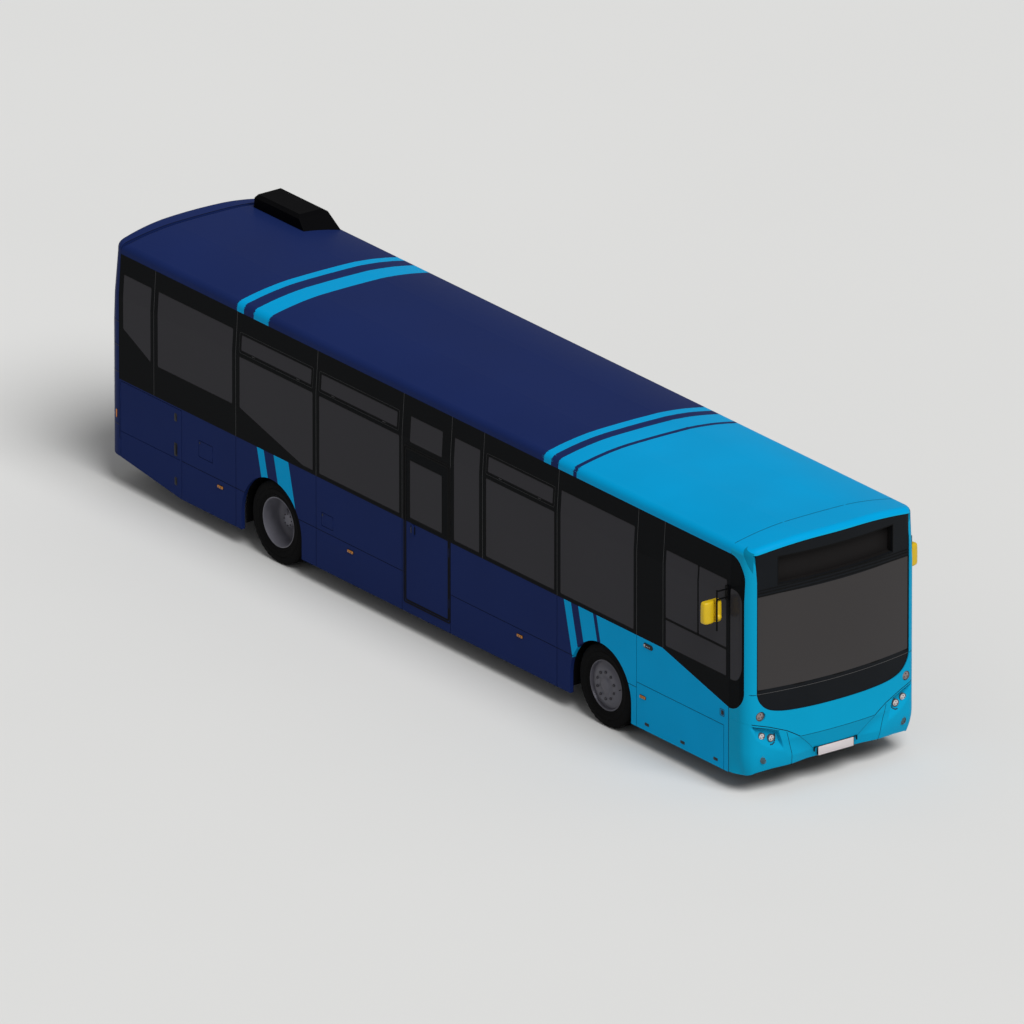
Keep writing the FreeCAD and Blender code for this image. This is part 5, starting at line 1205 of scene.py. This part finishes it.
def tyre_form(form, x, y):
    """Road tyre with grooves round it, notched shoulders and rings on its side walls."""
    half = tread_outline()
    outline = half + [(-across, radius, cut) for across, radius, cut in reversed(half[1:])]
    rows = []
    for step in range(TYRE_STEPS):
        angle = 2 * math.pi * step / TYRE_STEPS
        notch = step % 3 == 0
        row = []
        for across, radius, cut in outline:
            r = radius - 0.006 if cut and notch else radius
            row.append(Vector((x + r * math.sin(angle), y + across, TYRE_RADIUS + r * math.cos(angle))))
        rows.append(row)
    form.torus_loft(rows)


def turned_rim(form, profile, origin, x, sign, steps=64):
    """Skin turned about a wheel's axis; profile holds (outward of the origin, radius) points."""
    rows = []
    for out, radius in profile:
        y = sign * (origin + out)
        rows.append([Vector((x + radius * c, y, TYRE_RADIUS + radius * s)) for c, s in circle(1.0, steps)])
    form.torus_loft(rows)


def valve(form, x, y, dx, dy, sign):
    """Valve stem from the rim's well outwards."""
    z = TYRE_RADIUS + 0.02
    tube(form, [(x, sign * y, z), (x + dx, sign * (y + dy), z)], 0.0045, 10, 2)


def nut_ring(form, x, start, end, sign, finish=1):
    """Chamfered nuts with their studs, on the wheel's bolt circle."""
    for index in range(NUT_COUNT):
        angle = 2 * math.pi * (index + 0.5) / NUT_COUNT
        centre = Vector((x + NUT_CIRCLE * math.cos(angle), 0.0, TYRE_RADIUS + NUT_CIRCLE * math.sin(angle)))
        axis = (0.0, float(sign), 0.0)
        lathe(form, moved(NUT_WASHER, start), centre, axis, 20, finish)
        lathe(form, [(start, 0.0168)] + moved(NUT_TOP, end), centre, axis, 6, finish)
        lathe(form, moved(NUT_STUD, end), centre, axis, 12, finish)


class BUS_OT_tyres(bpy.types.Operator):
    """Fit road tyres with tread and moulded side walls"""

    bl_idname = "bus.tyres"
    bl_label = "Tyres"

    def execute(self, context):
        tread = mottled("tyre_rubber", (0.0042, 0.0042, 0.0044), 0.72, gloss=0.04, spread=0.2, patch=8.0,
                        grain=500.0, raised=0.12)
        middle = WHEEL_FACE - TYRE_WIDTH / 2
        for side, sign in (("right", -1), ("left", 1)):
            form = Form()
            tyre_form(form, FRONT_AXLE, sign * middle)
            made = form.piece("front_tread_" + side, "front_wheel_" + side, (tread,), 30.0)
            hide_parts("front_tyre_" + side)
            form = Form()
            for y in (middle, middle - TWIN_SPACING):
                tyre_form(form, REAR_AXLE, sign * y)
            made = form.piece("rear_tread_" + side, "rear_wheels_" + side, (tread,), 30.0)
            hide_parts("rear_tyres_" + side)
        return {"FINISHED"}


class BUS_OT_rims(bpy.types.Operator):
    """Fit pressed steel rims with nuts, hub caps and valves"""

    bl_idname = "bus.rims"
    bl_label = "Rims"

    def execute(self, context):
        steel = mottled("rim_coat", (0.082, 0.080, 0.098), 0.42, gloss=0.35, metal=0.25, spread=0.12,
                        patch=6.0, grain=700.0)
        # The twin rims take a lighter copy of the rim coat: painted light against the shade in their deep
        # dish
        twin_rim_painted_light = mottled("twin_rim_coat_painted_light", (0.150, 0.148, 0.175), 0.42, gloss=0.3, metal=0.1, spread=0.12,
                       patch=6.0, grain=700.0)
        nut = mottled("nut_steel", (0.050, 0.048, 0.056), 0.4, gloss=0.4, metal=0.5)
        black = rubber("valve_black", (0.006, 0.006, 0.006))
        face = WHEEL_FACE
        middle = TWIN_MIDDLE
        for side, sign in (("right", -1), ("left", 1)):
            axis = (0.0, float(sign), 0.0)
            form = Form()
            turned_rim(form, FRONT_RIM, face, FRONT_AXLE, sign)
            nut_ring(form, FRONT_AXLE, face - 0.021, face - 0.002, sign)
            lathe(form, moved(FRONT_HUB, face), (FRONT_AXLE, 0.0, TYRE_RADIUS), axis, 32)
            valve(form, FRONT_AXLE + 0.262, face - 0.042, -0.004, 0.024, sign)
            made = form.piece("front_rim_detail_" + side, "front_wheel_" + side, (steel, nut, black))
            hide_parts("front_rim_" + side)

            form = Form()
            turned_rim(form, TWIN_RIM, middle, REAR_AXLE, sign)
            nut_ring(form, REAR_AXLE, middle + 0.012, middle + 0.040, sign)
            hub = ((0.690, 0.001), (0.690, 0.134), (middle - 0.008, 0.136), (middle - 0.006, 0.001))
            lathe(form, hub, (REAR_AXLE, 0.0, TYRE_RADIUS), axis, 32)
            for x, z in circle(0.072, 8):
                lathe(form, moved(HUB_BOLT, middle), (REAR_AXLE + x, 0.0, TYRE_RADIUS + z), axis, 6, 1)
            valve(form, REAR_AXLE + 0.268, middle + 0.060, -0.006, 0.045, sign)
            made = form.piece("rear_rim_detail_" + side, "rear_wheels_" + side, (twin_rim_painted_light, nut, black))
            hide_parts("rear_rims_" + side)
        return {"FINISHED"}


def stacked(form, place, x, z, *layers):
    """Plates on one centre, each (half width, half height, corner, low, high, edge, finish)."""
    for wide, tall, corner, low, high, edge, finish in layers:
        plate(form, side_box(x - wide, x + wide, z - tall, z + tall), corner, place, low, high, edge, finish)


MARKERS = (-7.527, -4.942, -1.605, 0.793)
MARKER_HEIGHT = 0.642
LATCHES = (0.872, 1.564, 2.205)


class BUS_OT_side_fittings(bpy.types.Operator):
    """Fit the amber markers, repeaters, vents, socket, latches and flap fingers along both sides"""

    bl_idname = "bus.side_fittings"
    bl_label = "Side fittings"

    def execute(self, context):
        amber = mottled("marker_amber", (0.42, 0.150, 0.012), 0.3, gloss=0.4, spread=0.45, patch=60.0)
        dark = mottled("fitting_black", (0.006, 0.006, 0.007), 0.5, gloss=0.25)
        hollow = mottled("socket_blue", (0.003, 0.010, 0.045), 0.5, gloss=0.2)
        light = mottled("repeater_glass", (0.36, 0.35, 0.36), 0.25, gloss=0.4, spread=0.3, patch=80.0)
        form = Form()
        for place in (on_right, on_left):
            for x in MARKERS:
                stacked(form, place, x, MARKER_HEIGHT, (0.060, 0.022, 0.010, -0.002, 0.004, 0.0015, 1),
                        (0.053, 0.016, 0.008, 0.003, 0.012, 0.004, 0))
                for dx in (-0.018, 0.020):
                    stacked(form, place, x + dx, MARKER_HEIGHT, (0.005, 0.010, 0.002, 0.011, 0.0128, 0.0004,
                                                                 1))
            plate(form, side_box(0.812, 0.986, 1.284, 1.344), 0.029, place, -0.002, 0.010, edge=0.004,
                  finish=1, steps=8)
            plate(form, side_box(0.820, 0.850, 1.298, 1.330), 0.012, place, 0.006, 0.0125, finish=3)
            for x in (0.875, 0.902, 0.929):
                stacked(form, place, x, 1.312, (0.007, 0.006, 0.005, 0.006, 0.0118, 0.001, 3))
            for x in LATCHES:
                if place is on_left and x > DOORWAY[0]:
                    continue
                stacked(form, place, x, 0.319, (0.042, 0.019, 0.008, -0.003, 0.0012, 0.0006, 1),
                        (0.020, 0.010, 0.004, 0.0, 0.002, 0.0006, 1))
        band_around(form, side_box(2.294, 2.366, 0.910, 0.984), 0.006, 0.008, on_right, -0.002, 0.002,
                    edge=0.001, finish=2)
        plate(form, side_box(2.306, 2.360, 0.916, 0.978), 0.012, on_right, -0.004, 0.0008, finish=2)
        plate(form, side_box(2.316, 2.356, 0.926, 0.968), 0.018, on_right, 0.0, 0.004, finish=1, steps=6)
        form.piece("side_fittings", "body", (amber, dark, hollow, light))

        for node, x, z in FLAPS:
            form = Form()
            stacked(form, on_right, x + 0.018, z - 0.025, (0.012, 0.015, 0.006, -0.004, 0.0012, 0.0015, 0),
                    (0.008, 0.009, 0.004, 0.0, 0.003, 0.0015, 0))
            form.piece(node + "_catch", node, (dark,))

        form = Form()
        x1 = ENGINE_DOOR[1]
        for z in (1.251, 0.434):
            plate(form, side_box(x1 - 0.138, x1 - 0.086, z - 0.052, z + 0.052), 0.016, on_right, -0.002,
                  0.003, steps=6)
            stacked(form, on_right, x1 - 0.112, z, (0.016, 0.030, 0.012, 0.001, 0.007, 0.0015, 0))
        stacked(form, on_right, x1 - 0.112, 0.840, (0.030, 0.085, 0.012, -0.002, 0.003, 0.0015, 0),
                (0.018, 0.065, 0.010, 0.002, 0.014, 0.003, 0))
        form.piece("engine_door_catches", "engine_side_door", (dark,))
        return {"FINISHED"}


class BUS_OT_doors(bpy.types.Operator):
    """Fit the emergency door's seal and handle, and the entrance doors' rubbers, grab bars and buttons"""

    bl_idname = "bus.doors"
    bl_label = "Doors"

    def execute(self, context):
        black = rubber("door_rubber", (0.0055, 0.0055, 0.0058))
        dark = mottled("door_handle_black", (0.006, 0.006, 0.007), 0.4, gloss=0.3)
        yellow = mottled("grab_bar_yellow", (0.60, 0.40, 0.015), 0.4, gloss=0.35, spread=0.05)
        x0, x1, z0, z1 = EMERGENCY
        form = Form()
        band_around(form, side_box(x0 - 0.014, x1 + 0.014, z0 - 0.014, z1 + 0.014), 0.020, 0.020, on_right,
                    -0.002, 0.004, edge=0.0015)
        form.piece("emergency_seal", "body", (black,))
        form = Form()
        band_around(form, side_box(x0 + 0.020, x1 - 0.020, z0 + 0.018, z1 - 0.018), 0.016, 0.024, on_right,
                    -0.002, 0.003, edge=0.0015)
        bead_round(form, side_box(*EMERGENCY_PANE), on_right, 0.013, 0.0015)
        for x, layer in ((-3.707, (0.045, 0.050, 0.014, -0.002, 0.004, 0.0015, 0)),
                         (-3.725, (0.009, 0.036, 0.006, 0.003, 0.018, 0.003, 1)),
                         (-3.691, (0.009, 0.022, 0.006, 0.003, 0.007, 0.0015, 1))):
            stacked(form, on_right, x, 1.312, layer)
        form.piece("emergency_door_fittings", "emergency_door", (black, dark))

        for end, meeting in (("front", -1), ("rear", 1)):
            low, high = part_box("door_leaf_" + end)
            form = Form()
            u0, u1 = low.x + 0.006, high.x - 0.006
            band_around(form, rectangle(low.x + 0.026, high.x - 0.026, low.z + 0.026, high.z - 0.030), 0.010,
                        0.018, on_door, -0.002, 0.0035, edge=0.0015)
            edge = u0 + 0.002 if meeting < 0 else u1 - 0.002
            strip(form, [(edge, low.z + 0.01), (edge, high.z - 0.02)], 0.016, on_door, -0.030, 0.003)
            strip(form, [(u0 + 0.01, low.z + 0.006), (u1 - 0.01, low.z + 0.006)], 0.012, on_door, -0.030,
                  0.003)
            bar_u = (low.x + high.x) / 2 + meeting * 0.20
            inner = high.y - 0.040
            tube(form, [(bar_u, inner + 0.010, 0.92), (bar_u, inner - 0.035, 0.95),
                        (bar_u, inner - 0.045, 1.00), (bar_u, inner - 0.045, 1.62),
                        (bar_u, inner - 0.035, 1.67), (bar_u, inner + 0.010, 1.70)], 0.012, 14, 1)
            form.piece("door_trim_" + end, "door_leaf_" + end, (black, yellow))
        form = Form()
        plate(form, side_box(1.040, 1.086, 1.100, 1.146), 0.022, on_left, -0.002, 0.004, steps=8)
        plate(form, side_box(1.049, 1.077, 1.109, 1.137), 0.0135, on_left, 0.003, 0.009, edge=0.002, finish=1,
              steps=8)
        form.piece("door_button", "body", (dark, yellow))
        return {"FINISHED"}


def on_door(u, v, out):
    """Point on the outer face of the entrance leaves."""
    return Vector((u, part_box("door_leaf_front")[1].y + out, v))


MIRROR_OUT = 1.428
MIRROR_BACK = at(2.430) - 0.070
MIRROR_ROWS = ((2.1555, 0.74, 0.62), (2.1575, 0.82, 0.78), (2.163, 0.90, 0.92), (2.172, 0.96, 1.0),
               (2.190, 1.0, 1.0), (2.300, 1.0, 1.0), (2.375, 0.985, 1.0), (2.406, 0.96, 0.97),
               (2.419, 0.91, 0.88), (2.427, 0.83, 0.70), (2.4295, 0.76, 0.52))
MIRROR_CLAMP = ((-0.030, 0.034), (0.0, 0.041), (0.014, 0.038), (0.026, 0.028), (0.033, 0.014), (0.035, 0.001))
KERB_MIRROR_TURN = math.radians(14.0)
MIRROR_LOBES = ((-0.100, -0.012), (0.012, 0.165))


def mirror_outline(width, bulge, sign):
    """Section of a mirror housing: flat behind, two rounded lobes ahead with a groove between them."""
    middle = 0.0325
    back = MIRROR_BACK
    points = [(back, MIRROR_LOBES[0][0]), (back + 0.030, MIRROR_LOBES[0][0] - 0.002)]
    for low, high in MIRROR_LOBES:
        centre = (low + high) / 2
        half = (high - low) / 2
        for step in range(13):
            turn = math.pi * (1 - step / 12)
            points.append((back + 0.038 + 0.042 * bulge * math.sin(turn)**0.7,
                           centre + half * math.cos(turn)))
    points += [(back + 0.030, MIRROR_LOBES[1][1] + 0.002), (back, MIRROR_LOBES[1][1])]
    return [(x, sign * (MIRROR_OUT + middle + (y - middle) * width)) for x, y in points]


class BUS_OT_mirrors(bpy.types.Operator):
    """Fit two-lobed mirror housings with their glass and clamps"""

    bl_idname = "bus.mirrors"
    bl_label = "Mirrors"

    def execute(self, context):
        yellow = mottled("mirror_yellow", context.scene.bus_paint.mirror, 0.35, gloss=0.3, spread=0.04,
                         grain=500.0)
        glass = Finish("mirror_glass")
        ripple = glass.between(glass.noise(3.0), 0.0, 1.0, 0.02, 0.05)
        glass.set(colour=solid((0.32, 0.33, 0.35)), rough=ripple, metal=1.0)
        black = mottled("mirror_black", (0.006, 0.006, 0.0065), 0.45, gloss=0.25)
        form = Form()
        for sign in (1, -1):
            first = len(form.points)
            rows = []
            for z, width, bulge in MIRROR_ROWS:
                rows.append([Vector((x, y, z)) for x, y in mirror_outline(width, bulge, sign)])
            form.loft(rows)
            ball = Vector((MIRROR_BACK + 0.074, sign * (MIRROR_OUT - 0.040), 2.216))
            lathe(form, MIRROR_CLAMP, ball, AHEAD, 32)

            def behind(u, v, out, sign=sign):
                return Vector((MIRROR_BACK - out, sign * u, v))

            pane = rectangle(MIRROR_OUT + MIRROR_LOBES[0][0] + 0.010, MIRROR_OUT + MIRROR_LOBES[1][1] - 0.010,
                             2.180, 2.407)
            band_around(form, pane, 0.030, 0.006, behind, -0.002, 0.0012, finish=2, steps=6)
            plate(form, pane, 0.030, behind, -0.003, 0.0005, finish=1, steps=6)
            if sign > 0:
                turn = Matrix.Rotation(KERB_MIRROR_TURN, 3, "Z")
                pivot = Vector((MIRROR_BACK + 0.060, MIRROR_OUT, 0.0))
                for index in range(first, len(form.points)):
                    form.points[index] = pivot + turn @ (Vector(form.points[index]) - pivot)
        heads = form.piece("mirror_housings", "body", (yellow, glass.material, black), 40.0)
        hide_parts("mirror_heads")
        return {"FINISHED"}


SEAT_ROWS_LOW = (-1.180, -1.940, -2.700)
SEAT_ROWS_HIGH = (-4.700, -5.460, -7.750, -8.510)
SEAT_LINES = (0.960, 0.525)
LOW_FLOOR = 0.360
HIGH_FLOOR = 0.960
CAB_FLOOR = 0.640
DRIVER_X = 1.860
DRIVER_Y = -0.640
DRIVER_WIDTH = 0.480
SEAT_WIDTH = 0.430
SEAT_DEPTH = 0.420

# Outlines of a seat as (forward, up) of the foot of its back, and the handle's bends as (forward, inward, up)
SHELL_OUTLINE = ((0.418, 0.455), (0.410, 0.440), (0.360, 0.430), (0.080, 0.425), (0.010, 0.450),
                 (-0.012, 0.520), (-0.068, 0.860), (-0.092, 1.030), (-0.100, 1.040), (-0.112, 1.030),
                 (-0.092, 0.860), (-0.036, 0.500), (-0.002, 0.412), (0.080, 0.403), (0.360, 0.416),
                 (0.416, 0.424))
SHELL_SHARES = (-1.0, -0.985, -0.95, -0.7, 0.0, 0.7, 0.95, 0.985, 1.0)
CUSHION_LINE = ((0.408, 0.447), (0.340, 0.4345), (0.090, 0.4285), (0.030, 0.436))
BACK_LINE = ((0.002, 0.505), (-0.0665, 0.900), (-0.084, 0.995))
HANDLE_BENDS = ((-0.098, 0.02, 0.985), (-0.112, 0.03, 1.020), (-0.112, 0.09, 1.028))


def seat_places():
    """Cushion fronts, crosswise middles, floors and widths of every seat."""
    places = [(at(x), y, LOW_FLOOR, SEAT_WIDTH) for x in SEAT_ROWS_LOW for y in SEAT_LINES]
    places += [(at(SEAT_ROWS_LOW[0]), -y, LOW_FLOOR, SEAT_WIDTH) for y in SEAT_LINES]
    places += [(at(x), sign * y, HIGH_FLOOR, SEAT_WIDTH) for x in SEAT_ROWS_HIGH for y in SEAT_LINES
               for sign in (1, -1)]
    places.append((at(DRIVER_X), DRIVER_Y, CAB_FLOOR, DRIVER_WIDTH))
    return places


def pad_rows(path, width, thick, steps=9):
    """Rows of a stuffed pad that follows a path of (x, z) and swells away from it."""
    rows = []
    count = len(path)
    for index, ((x, z), (nx, nz)) in enumerate(path):
        along = abs(2 * index / (count - 1) - 1)
        swell = (1 - along**6)**0.5 if along < 1 else 0.0
        half = width / 2 * (0.94 + 0.06 * swell)
        row = []
        for step in range(steps):
            turn = math.pi * step / (steps - 1)
            across = -math.cos(turn)
            lift = thick * (0.12 + 0.88 * swell) * (math.sin(turn)**0.45 if 0 < step < steps - 1 else 0.0)
            lift *= 1.0 - 0.16 * math.exp(-(across * 4.0)**2)
            row.append((x + nx * lift, half * across, z + nz * lift))
        row += [(x, half * 0.9, z), (x, -half * 0.9, z)]
        rows.append(row)
    return rows


def curve_path(points, steps):
    """Points along a polyline, each with a direction square to it."""
    made = []
    lengths = [math.dist(a, b) for a, b in zip(points, points[1:])]
    total = sum(lengths)
    for step in range(steps + 1):
        target = total * step / steps
        for (a, b), length in zip(zip(points, points[1:]), lengths):
            if target <= length + 1e-9:
                share = target / length
                direction = Vector((b[0] - a[0], b[1] - a[1])).normalized()
                made.append(((a[0] + (b[0] - a[0]) * share, a[1] + (b[1] - a[1]) * share),
                             (direction.y, -direction.x)))
                break
            target -= length
    return made


def facing(path, axis):
    """The path with its directions turned to look forward (axis 0) or up (axis 1)."""
    return [(place, out if out[axis] >= 0 else (-out[0], -out[1])) for place, out in path]


class BUS_OT_seats(bpy.types.Operator):
    """Replace the seats with moulded shells, stuffed cushions and grab handles"""

    bl_idname = "bus.seats"
    bl_label = "Seats"

    def execute(self, context):
        shell = mottled("seat_shell_blue", (0.012, 0.030, 0.085), 0.45, gloss=0.3, grain=700.0)
        steel = mottled("seat_leg_steel", (0.045, 0.045, 0.05), 0.4, gloss=0.3, metal=0.4)
        bar = mottled("seat_bar_yellow", (0.60, 0.40, 0.015), 0.4, gloss=0.35, spread=0.05)
        cloth = Finish("seat_cloth")
        weave = cloth.noise(900.0, 3.0, (1.0, 2.2, 1.0))
        tone = cloth.blend(weave, solid((0.010, 0.022, 0.075)), solid((0.022, 0.060, 0.150)))
        cloth.set(colour=tone, rough=0.92, gloss=0.1)
        cloth.grain(weave, 0.35, 0.0012)
        shells = Form()
        cushions = Form()
        backs = Form()
        pads = ((cushions, facing(curve_path(CUSHION_LINE, 12), 1), 0.036),
                (backs, facing(curve_path(BACK_LINE, 12), 0), 0.030))
        for x, y, floor, width in seat_places():
            seat = Vector((x - SEAT_DEPTH, y, floor))
            half = width / 2 - 0.004
            rows = []
            for share in SHELL_SHARES:
                outline = SHELL_OUTLINE if abs(share) < 1.0 else thinned(SHELL_OUTLINE)
                rows.append([seat + Vector((forward, half * share, up)) for forward, up in outline])
            shells.loft(rows)
            for forward in (0.165, 0.215):
                for aside in (-0.12, 0.12):
                    foot = seat + Vector((forward, aside, 0.0))
                    tube(shells, [foot, foot + Vector((0.0, 0.0, 0.404))], 0.014, 12, 1)
            plate(shells, rectangle(0.150, 0.230, -0.150, 0.150), 0.010,
                  lambda u, v, out, seat=seat: seat + Vector((u, v, out)), 0.0, 0.006, finish=1)
            bends = [(forward, inward - half, up) for forward, inward, up in HANDLE_BENDS]
            bends += [(forward, -across, up) for forward, across, up in reversed(bends)]
            tube(shells, [seat + Vector(bend) for bend in bends], 0.010, 12, 2)
            for form, line, thick in pads:
                rows = pad_rows(line, width - 0.05, thick)
                form.loft([[seat + Vector(point) for point in row] for row in rows])
        made = shells.piece("seat_shells", "body", (shell, steel, bar))
        cushion = cushions.piece("seat_cushions", "body", (cloth.material,), 60.0)
        back = backs.piece("seat_back_pads", "body", (cloth.material,), 60.0)
        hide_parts("seats")
        return {"FINISHED"}


def thinned(profile):
    """A closed band's outline drawn in towards its own middle line, to round off its ends."""
    count = len(profile)
    made = []
    for index, (x, z) in enumerate(profile):
        facing = profile[(count - 1 - index) % count]
        made.append((x + (facing[0] - x) * 0.2, z + (facing[1] - z) * 0.2))
    return made


class BUS_OT_under_and_inside(bpy.types.Operator):
    """Finish the floor, cab, rails, roof pod, arms, wheel boxes and the parts under the floor"""

    bl_idname = "bus.under_and_inside"
    bl_label = "Underbody and cabin"

    def execute(self, context):
        black = mottled("moulded_black", (0.0034, 0.0034, 0.0038), 0.55, gloss=0.05, grain=500.0, raised=0.2)
        pod = mottled("pod_black", (0.0022, 0.0022, 0.0027), 0.45, gloss=0.02, spread=0.08, grain=120.0)
        dress(black, "wheel_boxes", "mirror_arms", "door_leaf_front", "door_leaf_rear")
        dress(pod, "roof_pod")
        display = mottled("display_black", (0.0110, 0.0100, 0.0100), 0.5, gloss=0.05, spread=0.1, grain=200.0)
        dress(display, "destination_sign")
        steel = mottled("chassis_coat", (0.012, 0.012, 0.013), 0.5, gloss=0.3, spread=0.3, patch=4.0)
        dress(steel, "chassis_frame", "underfloor_tanks", "door_arm_front", "door_arm_rear")
        iron = mottled("axle_coat", (0.016, 0.016, 0.017), 0.6, gloss=0.3, spread=0.35, patch=9.0,
                       grain=250.0, raised=0.3, depth=0.001)
        dress(iron, "axles", "engine_block", "knuckle_right", "knuckle_left")
        dress(rubber("bellows_rubber", (0.008, 0.008, 0.008)), "suspension_units")
        floor = Finish("floor_cover")
        flecks = floor.noise(260.0, 1.0)
        tone = floor.blend(floor.between(flecks, 0.55, 0.65, 0.0, 1.0), solid((0.035, 0.040, 0.048)),
                           solid((0.075, 0.080, 0.090)))
        floor.set(colour=tone, rough=0.7, gloss=0.2)
        floor.grain(flecks, 0.2, 0.0006)
        dress(floor.material, "floor_deck")
        cab = mottled("dash_moulding", (0.018, 0.018, 0.020), 0.6, gloss=0.2, grain=650.0, raised=0.3)
        dress(cab, "driver_cab")
        yellow = mottled("rail_yellow", (0.62, 0.42, 0.015), 0.4, gloss=0.35, spread=0.05, grain=800.0)
        dress(yellow, "handrails")
        return {"FINISHED"}


FLOOR_REACH = 400.0
CAMERA_SENSOR = 36.0
CLIP_END = 2000.0
VIEW_FROM = (0.7423, -0.5580, 0.3712)
VIEW_TARGET = (0.050, 0.0080, 1.328)
KEY_FROM = (0.62, -0.06, 0.78)


class BUS_OT_studio(bpy.types.Operator):
    """Set the pale floor, the soft light and the camera"""

    bl_idname = "bus.studio"
    bl_label = "Studio"

    def execute(self, context):
        stage = context.scene.bus_stage
        form = Form()
        corners = rectangle(-FLOOR_REACH, FLOOR_REACH, -FLOOR_REACH, FLOOR_REACH)
        form.loft([[Vector((x, y, z)) for x, y in corners] for z in (-0.02, 0.0)])
        mesh = bpy.data.meshes.new("studio_floor")
        mesh.from_pydata([tuple(point) for point in form.points], [], form.faces)
        mesh.materials.append(mottled("pale_floor", stage.floor, 0.85, gloss=0.1, spread=0.01, patch=0.2,
                                      grain=20.0, raised=0.02))
        floor = bpy.data.objects.new("studio_floor", mesh)
        context.scene.collection.objects.link(floor)

        world = bpy.data.worlds.new("soft_sky")
        context.scene.world = world
        world.use_nodes = True
        back = world.node_tree.nodes["Background"]
        back.inputs["Color"].default_value = (1.0, 1.0, 1.0, 1.0)
        back.inputs["Strength"].default_value = stage.sky

        key = bpy.data.lights.new("key_light", "SUN")
        key.energy = stage.key
        key.angle = math.radians(35.0)
        lamp = bpy.data.objects.new("key_light", key)
        lamp.rotation_euler = Vector(KEY_FROM).to_track_quat("Z", "Y").to_euler()
        context.scene.collection.objects.link(lamp)

        camera = bpy.data.cameras.new("camera")
        camera.lens = stage.lens
        camera.sensor_width = CAMERA_SENSOR
        camera.clip_end = CLIP_END
        viewer = bpy.data.objects.new("camera", camera)
        away = Vector(VIEW_FROM).normalized()
        distance = stage.lens / CAMERA_SENSOR * stage.width
        viewer.location = Vector(VIEW_TARGET) + away * distance
        viewer.rotation_euler = away.to_track_quat("Z", "Y").to_euler()
        context.scene.collection.objects.link(viewer)
        context.scene.camera = viewer
        context.scene.view_settings.view_transform = "Standard"
        return {"FINISHED"}


class BUS_PT_dressing(bpy.types.Panel):
    """Steps that dress the bus, in order"""

    bl_idname = "BUS_PT_dressing"
    bl_label = "City bus"
    bl_space_type = "VIEW_3D"
    bl_region_type = "UI"
    bl_category = "City bus"

    def draw(self, context):
        for group in (context.scene.bus_paint, context.scene.bus_stage):
            for name in group.bl_rna.properties.keys():
                if name not in ("rna_type", "name"):
                    self.layout.prop(group, name)
        for step in STEPS:
            self.layout.operator(step.bl_idname)


STEPS = (BUS_OT_paint_body, BUS_OT_joints, BUS_OT_windows, BUS_OT_bumper, BUS_OT_front_trim,
         BUS_OT_front_lamps, BUS_OT_rear_trim, BUS_OT_tyres, BUS_OT_rims, BUS_OT_side_fittings, BUS_OT_doors,
         BUS_OT_mirrors, BUS_OT_seats, BUS_OT_under_and_inside, BUS_OT_studio)
GROUPS = (("bus_paint", BusPaint), ("bus_stage", BusStage))


def register():
    for name, group in GROUPS:
        bpy.utils.register_class(group)
        setattr(bpy.types.Scene, name, PointerProperty(type=group))
    for step in STEPS:
        bpy.utils.register_class(step)
    bpy.utils.register_class(BUS_PT_dressing)


def unregister():
    bpy.utils.unregister_class(BUS_PT_dressing)
    for step in reversed(STEPS):
        bpy.utils.unregister_class(step)
    for name, group in reversed(GROUPS):
        delattr(bpy.types.Scene, name)
        bpy.utils.unregister_class(group)


def main():
    register()
    for step in STEPS:
        namespace, action = step.bl_idname.split(".")
        getattr(getattr(bpy.ops, namespace), action)()


if __name__ == "__main__":
    main()
